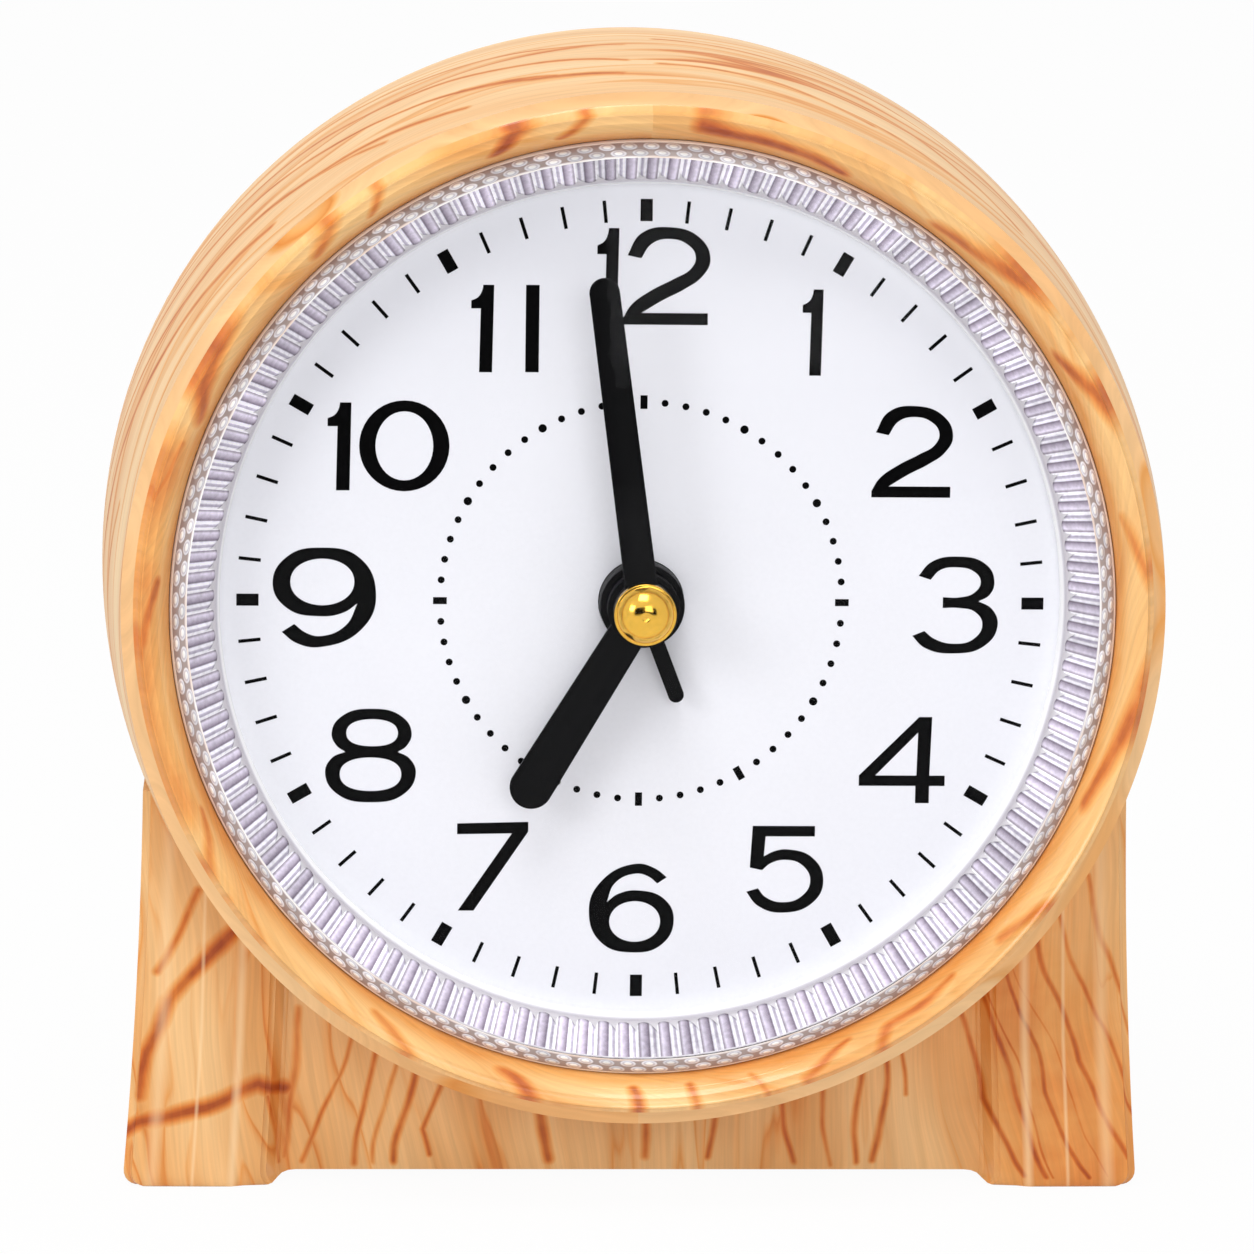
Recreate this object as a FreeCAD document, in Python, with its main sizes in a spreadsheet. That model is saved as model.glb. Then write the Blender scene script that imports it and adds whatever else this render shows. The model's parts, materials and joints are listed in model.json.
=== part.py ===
import FreeCAD, Part
import math
import os
import Sketcher
from FreeCAD import Rotation, Vector

# Bedside quartz alarm clock on a moulded base, in millimetres.
# Frame: X to the right seen from the front, Y into the clock, Z up, origin under the middle of the clock's box.
# Pieces are drawn about the hand axis, with depth counted backwards from the face of the dial, and then placed.

document = FreeCAD.newDocument("AlarmClock")
sheet = document.addObject("Spreadsheet::Sheet", "Sizes")

# Driving sizes: lengths in millimetres, then counts, angles and shares.
LENGTHS = dict(
    # whole clock
    barrel_radius=51.9, base_drop=6.1, seam_depth=33.0, cap_depth=5.0, cover_skin=2.2, case_wall=2.2,
    seat_play=0.3, run_play=0.05, press_play=0.02, overrun=1.0,
    # bezel and barrel
    lip_back=4.4, lip_width=2.1, bezel_slope=1.8, bezel_face=1.7, nose_round=0.8, barrel_swell=3.0,
    rim_drop=1.2, lip_thick=1.6, bezel_slant=2.7, bezel_lead=0.5, nose_drop=1.0, stack_back=2.6,
    # base
    foot_inset=2.7, foot_flare=1.1, shin_flare=0.9, foot_width=13.0, neck_drop=16.0, shin_height=15.0,
    panel_depth=5.2, pilaster_depth=2.5, pilaster_slope=0.5, strip_step=0.5, corner_radius=3.0,
    rear_edge=1.3, foot_height=1.7, arch_step=1.6, hollow_top=20.0,
    # lens and ribbed ring
    crown_inset=1.3, skirt_inset=1.1, lens_proud=2.6, lens_dome=4.9, lens_edge=1.2, ring_gap=0.15,
    ring_shoulder=0.55, ring_slant=1.75, ring_foot=0.7, ring_height=3.3, lens_wall=1.5, lens_rim_play=0.25,
    lens_flange=1.2, ring_lip=0.9, rib_height=0.5,
    # dial and carrier
    dial_inset=4.5, lamp_inset=2.2, pillar_gap=1.8, dial_thick=0.4, dial_hole=4.1, carrier_thick=2.0,
    pillar_radius=3.2, pilot_depth=12.0, lamp_radius=1.25, lamp_length=3.4, lamp_flange=0.25,
    # hands
    minute_length=31.9, minute_width=3.1, minute_tip=2.85, hour_length=22.3, hour_width=3.5, hour_tip=4.1,
    alarm_length=10.0, alarm_width=1.5, hand_thick=0.6, alarm_level=1.7, hour_level=3.6, minute_level=5.8,
    boss_drop=0.5, boss_rise=0.5, alarm_boss=4.0, hour_boss=3.4, minute_boss=2.9, cap_level=7.0,
    cap_radius=2.95, cap_height=2.4, cap_rim=0.5,
    # tubes and arbors on the hand axis
    seconds_arbor=0.7, tube_wall=0.75, collar_wall=0.85, collar_reach=0.9,
    # movement case
    movement_half=26.0, movement_wall=1.3, front_plate=1.5, movement_depth=17.4, middle_depth=8.9,
    middle_thick=0.6, middle_top=16.6, lug_reach=5.6, lug_half=2.6,
    # gear layers, as depths of their front faces, and their thicknesses
    wheel_thick=0.8, alarm_layer=4.3, hour_layer=5.9, motion_layer=7.6, centre_layer=9.8,
    seconds_layer=11.2, third_layer=12.4, step_layer=14.2, alarm_idler_lap=0.1, pinion_lap=0.1,
    pivot_radius=0.45, arbor_radius=1.0, stud_radius=0.6,
    # gear modules
    motion_module=0.4, alarm_module=0.4, third_module=0.35, seconds_module=0.34, step_module=0.36,
    # motor
    magnet_radius=2.4, magnet_depth=10.8, magnet_height=2.4, stator_gap=0.4, stator_depth=11.2,
    stator_thick=1.0, pole_left=4.0, pole_right=13.0, pole_bottom=10.9, pole_top=18.6, yoke_bottom=15.6,
    yoke_top=17.0, yoke_leg=1.4, core_height=21.8, core_half=0.7, coil_half=10.0, coil_radius=2.6,
    bobbin_radius=2.9, bobbin_cheek=0.8, bobbin_wall=0.3,
    # circuit
    board_left=16.0, board_bottom=22.0, board_top=14.0, board_depth=12.0, board_thick=1.0, board_inset=0.3,
    crystal_radius=1.0, crystal_length=6.0, crystal_height=8.0, chip_radius=2.4, chip_thick=0.8,
    leaf_left=4.0, leaf_right=20.0, leaf_centre=6.0, leaf_half=1.0, leaf_depth=7.1, leaf_thick=0.2,
    post_width=2.0,
    # rear cover
    knob_room_left=2.3, knob_room_right=2.9, knob_room=3.5, bay_lift=8.6, bay_play=1.7, boss_radius=3.5,
    boss_height=3.0, screw_radius=1.15, screw_head=2.4, screw_head_height=1.6, screw_play=0.15,
    screw_length=11.0, recess_wall=2.0, recess_depth=5.0, bay_floor=20.6, bay_wall=1.6, slot_width=1.4,
    slot_height=11.0, slot_pitch=3.0,
    # battery and its door
    spring_length=6.08, door_side=2.3, door_foot=1.3, door_head=1.1, cell_radius=7.25, cell_length=49.2,
    cell_nub=1.3, cell_nub_radius=2.7, plate_thick=0.4, contact_half=5.0, contact_foot=3.0, door_thick=1.6,
    door_rim=0.3, pin_radius=0.6, pin_length=1.2,
    # controls
    button_drop=13.9, knob_radius=5.5, knob_height=4.0, knob_gap=0.4, knob_groove=0.35, knob_rim=1.5,
    arbor_grip=3.0, slide_height=3.0, slide_dip=0.8, switch_travel=5.0, switch_centre=3.5, switch_width=4.0,
    switch_height=6.0, stem_width=3.0, stem_height=3.0, switch_flange=1.0, switch_board_drop=3.2,
    switch_board_thick=1.0, switch_post=1.2, button_half=14.0, button_height=8.0, button_thick=3.6,
    button_flange=1.2, button_travel=1.2, button_sink=0.1, guide_play=0.08, button_board_gap=5.0,
    button_board_thick=1.2, button_post=1.3, button_post_x=17.0, push_switch=6.0, plunger_rise=0.4,
    plunger_radius=1.5,
    # sounder
    sounder_gap=0.4, sounder_thick=0.4, sounder_ring_wall=0.85, sounder_lip=0.8, sounder_back=2.4,
)
NUMBERS = dict(
    rib_count=133, knurl_count=24, slot_count=4,
    minute_angle=352.2, hour_angle=209.35, alarm_angle=160.5,
    cannon_teeth=12, motion_teeth=36, motion_pinion_teeth=10, hour_teeth=40, set_teeth=12,
    alarm_teeth=48, alarm_pinion_teeth=20, seconds_pinion_teeth=8, third_teeth=60, third_pinion_teeth=8,
    centre_teeth=64, seconds_teeth=60, step_pinion_teeth=12, step_teeth=36, rotor_teeth=6,
    rotor_angle=20, lamp_angle=15,
    inner_corner_share=0.70, strip_inner_share=0.79, strip_outer_share=0.815, facet_share=0.865,
)


class Size:
    """A number that remembers the expression that binds it to the spreadsheet."""

    def __init__(self, value, text):
        self.value = value
        self.text = text

    def __add__(self, other):
        other = size_of(other)
        return Size(self.value + other.value, f"({self.text} + {other.text})")

    def __sub__(self, other):
        other = size_of(other)
        return Size(self.value - other.value, f"({self.text} - {other.text})")

    def __mul__(self, other):
        other = size_of(other)
        return Size(self.value * other.value, f"({self.text} * {other.text})")

    def __truediv__(self, other):
        other = size_of(other)
        return Size(self.value / other.value, f"({self.text} / {other.text})")

    def __neg__(self):
        return Size(-self.value, f"(0 - {self.text})")

    __radd__ = __add__
    __rmul__ = __mul__

    def __rsub__(self, other):
        return size_of(other) - self


def size_of(number):
    """Wraps a plain number, such as a count or a half, as a Size."""
    return number if isinstance(number, Size) else Size(float(number), repr(float(number)))


def root(size):
    """Square root of a Size."""
    return Size(math.sqrt(size.value), f"sqrt({size.text})")


def cosine(size):
    """Cosine of a Size in degrees."""
    return Size(math.cos(math.radians(size.value)), f"cos({size.text} * 1deg)")


def sine(size):
    """Sine of a Size in degrees."""
    return Size(math.sin(math.radians(size.value)), f"sin({size.text} * 1deg)")


class Sheet:
    """The spreadsheet's cells as attributes."""


S = Sheet()
for row, (alias, number) in enumerate({**LENGTHS, **NUMBERS}.items(), start=1):
    sheet.set(f"A{row}", alias)
    sheet.set(f"B{row}", str(number))
    sheet.setAlias(f"B{row}", alias)
    setattr(S, alias, Size(float(number), f"Sizes.{alias}"))
document.recompute()

# Radii and places that follow from the driving sizes.
S.axis_height = S.barrel_radius + S.base_drop
S.case_depth = S.seam_depth + S.cap_depth
S.bezel_radius = S.barrel_radius - S.barrel_swell
S.bezel_outer_radius = S.bezel_radius - S.nose_round
S.bezel_inner_radius = S.bezel_outer_radius - S.bezel_face
S.window_radius = S.bezel_inner_radius - S.bezel_slope
S.stack_radius = S.window_radius + S.lip_width
S.rim_radius = S.barrel_radius - S.rim_drop
S.mouth_radius = S.barrel_radius - S.case_wall
S.lip_edge = S.lip_back + S.lip_thick
S.bezel_inner_reach = S.lip_edge + S.bezel_slant
S.bezel_reach = S.bezel_inner_reach + S.bezel_lead
S.lens_reach = S.bezel_reach + S.lens_proud
S.lens_crown_reach = S.lens_reach - S.lens_dome
S.lens_rim_reach = S.lens_crown_reach - S.lens_edge
S.lens_crown_radius = S.window_radius - S.crown_inset
S.lens_skirt_radius = S.lens_crown_radius - S.skirt_inset
S.ring_top_radius = S.lens_skirt_radius + S.ring_gap
S.ring_shoulder_radius = S.ring_top_radius + S.ring_shoulder
S.ring_rib_radius = S.ring_top_radius - S.ring_slant
S.ring_inner_radius = S.ring_rib_radius - S.ring_foot
S.ring_top_reach = S.ring_lip + S.ring_height
S.dial_radius = S.stack_radius - S.dial_inset
S.lamp_orbit = S.dial_radius + S.lamp_inset
S.foot_half = S.barrel_radius - S.foot_inset
S.shin_half = S.foot_half - S.foot_flare
S.neck_half = S.shin_half - S.shin_flare
S.neck_height = S.axis_height - S.neck_drop
S.arch_half = S.foot_half - S.foot_width
S.pillar_x = S.movement_half + S.pillar_radius + S.pillar_gap
S.pillar_z = S.movement_half
S.bay_bottom = S.axis_height - S.bay_lift
S.bay_top = S.bay_bottom - S.cell_radius * 2 - S.bay_play
S.bay_half = (S.cell_length + S.cell_nub + S.plate_thick + S.press_play + S.spring_length) / 2
S.door_half = S.bay_half + S.door_side
S.door_bottom = S.bay_bottom + S.door_foot
S.door_top = S.bay_top - S.door_head
S.recess_half = S.knob_radius + S.knob_room
recess_foot = S.recess_half + S.recess_wall
door_head = S.door_top - S.door_rim - S.bay_wall
S.slot_centre = (recess_foot + door_head) / 2
S.sounder_radius = (door_head - recess_foot) / 2 - S.sounder_ring_wall - S.run_play - S.sounder_gap
S.button_bottom = S.barrel_radius - S.button_drop - S.button_height

places = {}
kept = []
XZ_FACING_BACK = Rotation(Vector(1, 0, 0), -90)
ALONG_X = Rotation(Vector(0, 1, 0), 90)


def bind(thing, prop, size):
    """Sets a property from a Size and keeps it bound to the sheet."""
    size = size_of(size)
    thing.setExpression(prop, size.text)


def put(thing, x, y, z, rotation=None):
    """Places an object about the hand axis."""
    thing.Placement = FreeCAD.Placement(Vector(*(size_of(part).value for part in (x, y, z))),
                                        rotation or Rotation())
    for axis, part in zip("xyz", (x, y, z)):
        bind(thing, f"Placement.Base.{axis}", part)
    places[thing.Name] = (x, y, z)
    return thing


def box(name, x0, x1, y0, y1, z0, z1):
    """A block between two corners."""
    block = document.addObject("Part::Box", name)
    bind(block, "Length", size_of(x1) - x0)
    bind(block, "Width", size_of(y1) - y0)
    bind(block, "Height", size_of(z1) - z0)
    return put(block, x0, y0, z0)


def rod(name, radius, y0, y1, x=0, z=0):
    """A cylinder along Y."""
    cylinder = document.addObject("Part::Cylinder", name)
    bind(cylinder, "Radius", radius)
    bind(cylinder, "Height", size_of(y1) - y0)
    return put(cylinder, x, y0, z, XZ_FACING_BACK)


def rod_across(name, radius, x0, x1, y, z):
    """A cylinder along X."""
    cylinder = document.addObject("Part::Cylinder", name)
    bind(cylinder, "Radius", radius)
    bind(cylinder, "Height", size_of(x1) - x0)
    return put(cylinder, x0, y, z, ALONG_X)


def rod_up(name, radius, z0, z1, x, y):
    """A cylinder along Z."""
    cylinder = document.addObject("Part::Cylinder", name)
    bind(cylinder, "Radius", radius)
    bind(cylinder, "Height", size_of(z1) - z0)
    return put(cylinder, x, y, z0)


def fuse(name, *solids):
    """One solid out of several."""
    joined = document.addObject("Part::MultiFuse", name)
    joined.Shapes = list(solids)
    joined.Refine = True
    return joined


def cut(name, base, *tools):
    """A solid less one or more tools."""
    tool = tools[0] if len(tools) == 1 else fuse(f"{name}_tools", *tools)
    less = document.addObject("Part::Cut", name)
    less.Base = base
    less.Tool = tool
    less.Refine = True
    return less


def origin_plane(body, role):
    """One of a body's own origin planes."""
    return next(plane for plane in body.Origin.OriginFeatures if plane.Role == role)


def new_sketch(body, role, offset=0):
    """A sketch on a body's origin plane, moved along the plane's normal."""
    sketch = body.newObject("Sketcher::SketchObject", f"{body.Name}_sketch")
    sketch.AttachmentSupport = [(origin_plane(body, role), "")]
    sketch.MapMode = "FlatFace"
    bind(sketch, "AttachmentOffset.Base.z", offset)
    return sketch


def pin_point(sketch, geometry, end, u, v):
    """Ties a sketch point to two Sizes measured from the sketch's origin."""
    for kind, axis, part in (("DistanceX", -2, u), ("DistanceY", -1, v)):
        part = size_of(part)
        if part.value == 0:
            sketch.addConstraint(Sketcher.Constraint("PointOnObject", geometry, end, axis))
        elif part.value > 0:
            index = sketch.addConstraint(Sketcher.Constraint(kind, -1, 1, geometry, end, part.value))
            sketch.setExpression(f"Constraints[{index}]", part.text)
        else:
            index = sketch.addConstraint(Sketcher.Constraint(kind, geometry, end, -1, 1, -part.value))
            sketch.setExpression(f"Constraints[{index}]", (-part).text)


def arc_through(start, end, radius, side):
    """A sketch arc between two points; side is 1 where it bulges to the left of the way it goes."""
    chord = end - start
    left = Vector(-chord.y, chord.x, 0).normalize() * side
    middle = (start + end) * 0.5
    sag = math.sqrt(max(radius ** 2 - (chord.Length / 2) ** 2, 0))
    crown = middle + left * (radius - sag)
    return Part.Arc(start, crown, end)


def draw(sketch, points, arcs=None):
    """Draws a closed outline; arcs gives the radius and side of each stretch that is round."""
    arcs = arcs or {}
    vectors = [Vector(size_of(u).value, size_of(v).value, 0) for u, v in points]
    ends = []
    for index, start in enumerate(vectors):
        end = vectors[(index + 1) % len(vectors)]
        if index in arcs:
            radius, side = arcs[index]
            geometry = sketch.addGeometry(arc_through(start, end, radius.value, side))
            first = 1 if (sketch.getPoint(geometry, 1) - start).Length < (sketch.getPoint(geometry, 2)
                                                                         - start).Length else 2
            ends.append((geometry, first, 3 - first))
        else:
            geometry = sketch.addGeometry(Part.LineSegment(start, end))
            ends.append((geometry, 1, 2))
    for index, (u, v) in enumerate(points):
        geometry, first, _ = ends[index]
        before, _, last = ends[index - 1]
        sketch.addConstraint(Sketcher.Constraint("Coincident", before, last, geometry, first))
        pin_point(sketch, geometry, first, u, v)
    for index, (radius, _) in arcs.items():
        place = sketch.addConstraint(Sketcher.Constraint("Radius", ends[index][0], radius.value))
        sketch.setExpression(f"Constraints[{place}]", radius.text)


def turned(name, points, arcs=None):
    """A body turned about the hand axis; its outline is given as radius and depth."""
    body = document.addObject("PartDesign::Body", name)
    sketch = new_sketch(body, "XY_Plane")
    draw(sketch, points, arcs)
    spin = body.newObject("PartDesign::Revolution", f"{name}_turn")
    spin.Profile = sketch
    spin.ReferenceAxis = (sketch, ["V_Axis"])
    spin.Angle = 360
    return body


def plate(name, points, y0, y1, arcs=None):
    """A body padded along Y from y0 to y1; its outline is given as X and Z."""
    body = document.addObject("PartDesign::Body", name)
    sketch = new_sketch(body, "XZ_Plane", -size_of(y1))
    draw(sketch, points, arcs)
    pad = body.newObject("PartDesign::Pad", f"{name}_pad")
    pad.Profile = sketch
    bind(pad, "Length", size_of(y1) - y0)
    return body


def lofted(name, levels):
    """A body lofted upwards through outlines given as height, points and arcs."""
    body = document.addObject("PartDesign::Body", name)
    sketches = []
    for height, points, arcs in levels:
        sketch = new_sketch(body, "XY_Plane", height)
        draw(sketch, points, arcs)
        sketches.append(sketch)
    loft = body.newObject("PartDesign::AdditiveLoft", f"{name}_loft")
    loft.Profile = sketches[0]
    loft.Sections = sketches[1:]
    loft.Ruled = True
    return body


def keep(thing, label, turn=None):
    """Names a finished sub-part and moves it from the hand axis to its place in the clock."""
    x, y, z = places.get(thing.Name, (0, 0, 0))
    rotation = thing.Placement.Rotation
    if turn is not None:
        rotation = Rotation(Vector(0, 1, 0), turn.value)
    thing.Placement = FreeCAD.Placement(thing.Placement.Base, rotation)
    bind(thing, "Placement.Base.x", x)
    bind(thing, "Placement.Base.y", size_of(y) + dial_y)
    bind(thing, "Placement.Base.z", size_of(z) + S.axis_height)
    if turn is not None:
        bind(thing, "Placement.Rotation.Angle", turn)
    thing.Label = label
    kept.append(thing)
    return thing


def sagitta_radius(half_chord, rise):
    """Radius of the arc with this half chord and rise."""
    return (half_chord * half_chord + rise * rise) / (rise * 2)


def mirrored(points):
    """Adds the left half of an outline to its right half, walking back the other way."""
    return points + [(-u, v) for u, v in reversed(points)]


# The dial's face stands this far along Y, so that lens and rear rim are equally far from the origin.
dial_y = (S.lens_reach - S.case_depth) / 2
floor_z = -S.axis_height


# Gears: straight-sided teeth with backlash, wide enough apart to run free at any angle.
ADDENDUM_SHARE = 0.6
DEDENDUM_SHARE = 0.95
TIP_WIDTH_SHARE = 0.20
ROOT_WIDTH_SHARE = 0.48


def pitch_radius(teeth, module):
    """Pitch radius of a gear."""
    return teeth * module / 2


def tip_radius(teeth, module):
    """Outer radius of a gear."""
    return pitch_radius(teeth, module) + module * ADDENDUM_SHARE


def wheel(name, teeth, module, y0, y1, x=0, z=0, phase=0.0):
    """A toothed disc; phase is the angle of a tooth, counted from +X towards +Z."""
    pitch = pitch_radius(teeth, module).value
    tip = pitch + ADDENDUM_SHARE * module.value
    base = pitch - DEDENDUM_SHARE * module.value
    step = 2 * math.pi / round(teeth.value)
    corners = []
    for tooth in range(round(teeth.value)):
        middle = math.radians(phase) + tooth * step
        for radius, share in ((base, -ROOT_WIDTH_SHARE), (tip, -TIP_WIDTH_SHARE),
                              (tip, TIP_WIDTH_SHARE), (base, ROOT_WIDTH_SHARE)):
            angle = middle + share * step / 2
            corners.append(Vector(radius * math.cos(angle), 0, radius * math.sin(angle)))
    face = Part.Face(Part.makePolygon(corners + corners[:1]))
    thick = (size_of(y1) - y0).value
    gear = document.addObject("Part::Feature", name)
    gear.Shape = face.extrude(Vector(0, thick, 0))
    return put(gear, x, y0, z)


def gap_phase(angle, teeth):
    """Phase that sets a gap of a gear towards the given angle."""
    return angle + 180.0 / teeth.value


# Places of the setting arbors, from the gear sizes.
motion_reach = pitch_radius(S.cannon_teeth + S.motion_teeth, S.motion_module)
hour_module = motion_reach * 2 / (S.motion_pinion_teeth + S.hour_teeth)
set_reach = motion_reach + pitch_radius(S.motion_teeth + S.set_teeth, S.motion_module)
alarm_reach = pitch_radius(S.alarm_teeth + S.alarm_pinion_teeth, S.alarm_module)
third_reach = pitch_radius(S.seconds_pinion_teeth + S.third_teeth, S.third_module)
centre_module = third_reach * 2 / (S.third_pinion_teeth + S.centre_teeth)
step_reach = pitch_radius(S.seconds_teeth + S.step_pinion_teeth, S.seconds_module)
rotor_reach = pitch_radius(S.step_teeth + S.rotor_teeth, S.step_module)
rotor_x = rotor_reach * cosine(S.rotor_angle)
rotor_z = step_reach + rotor_reach * sine(S.rotor_angle)
S.recess_left = set_reach + S.knob_radius + S.knob_room_left
S.recess_right = alarm_reach + S.knob_radius + S.knob_room_right

# Front case: barrel with bezel, and the stepped base, in one moulding.
barrel_run = S.seam_depth + S.bezel_reach - S.nose_drop
barrel_outer = turned("barrel_outer", [
    (0, -S.lip_back),
    (S.window_radius, -S.lip_back),
    (S.window_radius, -S.lip_edge),
    (S.bezel_inner_radius, -S.bezel_inner_reach),
    (S.bezel_outer_radius, -S.bezel_reach),
    (S.bezel_radius, S.nose_drop - S.bezel_reach),
    (S.barrel_radius, S.seam_depth),
    (0, S.seam_depth),
], {4: (sagitta_radius(S.nose_drop, S.bezel_radius - S.bezel_outer_radius), -1),
    5: (sagitta_radius(barrel_run, S.barrel_swell), -1)})
barrel_hollow = turned("barrel_hollow", [
    (0, -S.lip_back - S.overrun),
    (S.window_radius, -S.lip_back - S.overrun),
    (S.window_radius, -S.lip_back),
    (S.stack_radius, -S.lip_back),
    (S.stack_radius, S.stack_back),
    (S.stack_radius + S.case_wall / 2, S.stack_back),
    (S.mouth_radius, S.seam_depth),
    (S.mouth_radius, S.seam_depth + S.overrun),
    (0, S.seam_depth + S.overrun),
])


def base_outline(half, back):
    """Plan of the front moulding's base: recessed panel between stepped pilasters."""
    return mirrored([
        (half, back),
        (half, S.pilaster_depth + S.corner_radius),
        (half - S.corner_radius, S.pilaster_depth + S.pilaster_slope),
        (half * S.facet_share, S.pilaster_depth),
        (half * S.strip_outer_share, S.pilaster_depth),
        (half * S.strip_inner_share, S.pilaster_depth + S.strip_step),
        (half * S.inner_corner_share, S.panel_depth),
    ])


CORNER_BOW_SHARE = 1.15
corner_bow = S.corner_radius * CORNER_BOW_SHARE
base_arcs = {1: (corner_bow, 1), 11: (corner_bow, 1)}
base_levels = [(S.foot_half, floor_z), (S.shin_half, floor_z + S.shin_height),
               (S.neck_half, floor_z + S.neck_height)]
base_block = lofted("base_block", [(height, base_outline(half, S.seam_depth), base_arcs)
                                   for half, height in base_levels])


def arch_cutter(name):
    """Space under the base between the feet."""
    return plate(name, mirrored([
        (S.arch_half, floor_z - S.overrun),
        (S.arch_half, floor_z),
        (S.arch_half - S.arch_step, floor_z + S.foot_height),
    ]), -S.bezel_reach, S.case_depth + S.overrun)


hollow_half = S.neck_half - S.case_wall
hollow_floor = floor_z + S.foot_height + S.case_wall
base_hollow = box("base_hollow", -hollow_half, hollow_half, S.panel_depth + S.case_wall,
                  S.seam_depth + S.overrun, hollow_floor, -S.hollow_top)
front_case = cut("front_case", fuse("case_solid", barrel_outer, base_block),
                 barrel_hollow, base_hollow, arch_cutter("front_arch"))
keep(front_case, "front_case")

# Rear cover: cap with rounded edge, control recess, battery bay, bosses and sound slots.
cap_outer = turned("cap_outer", [
    (0, S.seam_depth),
    (S.barrel_radius, S.seam_depth),
    (S.rim_radius, S.case_depth),
    (0, S.case_depth),
], {1: (sagitta_radius(S.cap_depth, S.rim_drop), -1)})
cover_inner = S.case_depth - S.cover_skin
cap_hollow = turned("cap_hollow", [
    (0, S.seam_depth - S.overrun),
    (S.mouth_radius, S.seam_depth - S.overrun),
    (S.mouth_radius, S.seam_depth),
    (S.mouth_radius - S.cover_skin / 2, cover_inner),
    (0, cover_inner),
])


def base_cap_outline(half):
    """Plan of the cover's part of the base, with rounded rear edges."""
    return mirrored([
        (half - S.rear_edge, S.case_depth),
        (half, S.case_depth - S.rear_edge),
        (half, S.seam_depth),
    ])


base_cap = lofted("base_cap", [(height, base_cap_outline(half), {0: (S.rear_edge, 1), 4: (S.rear_edge, 1)})
                               for half, height in base_levels])
base_cap_hollow = box("base_cap_hollow", -hollow_half, hollow_half, S.seam_depth - S.overrun, cover_inner,
                      hollow_floor, -S.hollow_top)
recess_floor = S.case_depth - S.recess_depth
recess_shell = box("recess_shell", -S.recess_left - S.recess_wall, S.recess_right + S.recess_wall,
                   recess_floor - S.recess_wall, cover_inner, -S.recess_half - S.recess_wall,
                   S.recess_half + S.recess_wall)
recess_space = box("recess_space", -S.recess_left, S.recess_right, recess_floor, S.case_depth + S.overrun,
                   -S.recess_half, S.recess_half)
door_back = S.case_depth - S.door_thick - S.seat_play / 2
bay_shell = box("bay_shell", -S.bay_half - S.bay_wall, S.bay_half + S.bay_wall, S.bay_floor - S.bay_wall,
                cover_inner, -S.bay_bottom - S.bay_wall, -S.bay_top + S.bay_wall)
door_frame = box("door_frame", -S.door_half - S.bay_wall - S.pin_length, S.door_half + S.bay_wall + S.pin_length,
                 door_back - S.bay_wall, S.case_depth - S.rear_edge, -S.door_bottom - S.bay_wall,
                 -S.door_top + S.door_rim + S.bay_wall)
bay_space = box("bay_space", -S.bay_half, S.bay_half, S.bay_floor, S.case_depth + S.overrun, -S.bay_bottom,
                -S.bay_top)
door_space = box("door_space", -S.door_half - S.door_rim, S.door_half + S.door_rim, door_back - S.door_rim / 2,
                 S.case_depth + S.overrun, -S.door_bottom - S.door_rim, -S.door_top + S.door_rim)
hinge_depth = door_back + S.door_thick / 2
hinge_z = -S.door_bottom + S.door_thick / 2
pin_reach = S.door_half + S.pin_length
pin_holes = rod_across("pin_holes", S.pin_radius + S.run_play, -pin_reach - S.seat_play,
                       pin_reach + S.seat_play, hinge_depth, hinge_z)

pillar_spots = [(S.pillar_x, S.pillar_z), (-S.pillar_x, S.pillar_z), (S.pillar_x, -S.pillar_z),
                (-S.pillar_x, -S.pillar_z)]
boss_front = cover_inner - S.boss_height
head_front = S.case_depth - S.boss_height
cover_bosses = [rod(f"cover_boss_{n}", S.boss_radius, boss_front, cover_inner, x, z)
                for n, (x, z) in enumerate(pillar_spots)]
cover_holes = [rod(f"cover_hole_{n}", S.screw_radius + S.screw_play, boss_front - S.overrun,
                   S.case_depth + S.overrun, x, z) for n, (x, z) in enumerate(pillar_spots)]
cover_counterbores = [rod(f"cover_counterbore_{n}", S.screw_head + S.screw_play, head_front,
                          S.case_depth + S.overrun, x, z) for n, (x, z) in enumerate(pillar_spots)]

arbor_holes = [rod(f"arbor_hole_{n}", S.arbor_radius + S.seat_play, recess_floor - S.recess_wall - S.overrun,
                   recess_floor + S.overrun, x, 0) for n, x in enumerate((-set_reach, alarm_reach))]
switch_slot = box("switch_slot", -S.switch_centre - (S.switch_travel + S.stem_width) / 2 - S.seat_play,
                  -S.switch_centre + (S.switch_travel + S.stem_width) / 2 + S.seat_play,
                  recess_floor - S.recess_wall - S.overrun, recess_floor + S.overrun,
                  -S.stem_height / 2 - S.run_play, S.stem_height / 2 + S.run_play)
button_hole = box("button_hole", -S.button_half - S.guide_play, S.button_half + S.guide_play,
                  cover_inner - S.overrun, S.case_depth + S.overrun, S.button_bottom - S.guide_play,
                  S.button_bottom + S.button_height + S.guide_play)
sound_slots = [box(f"sound_slot_{n}", S.slot_pitch * (n - (S.slot_count.value - 1) / 2) - S.slot_width / 2,
                   S.slot_pitch * (n - (S.slot_count.value - 1) / 2) + S.slot_width / 2,
                   cover_inner - S.overrun, S.case_depth + S.overrun,
                   -S.slot_centre - S.slot_height / 2, -S.slot_centre + S.slot_height / 2)
               for n in range(round(S.slot_count.value))]
switch_board_back = recess_floor - S.recess_wall - S.switch_board_drop + S.switch_board_thick
switch_post_x = (S.switch_travel + S.switch_width) / 2 + S.switch_post * 2
switch_posts = [rod(f"switch_post_{n}", S.switch_post, switch_board_back, recess_floor - S.recess_wall,
                    -S.switch_centre + switch_post_x * side, 0) for n, side in enumerate((-1, 1))]
button_middle = S.button_bottom + S.button_height / 2
button_board_back = cover_inner - S.button_board_gap
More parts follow.
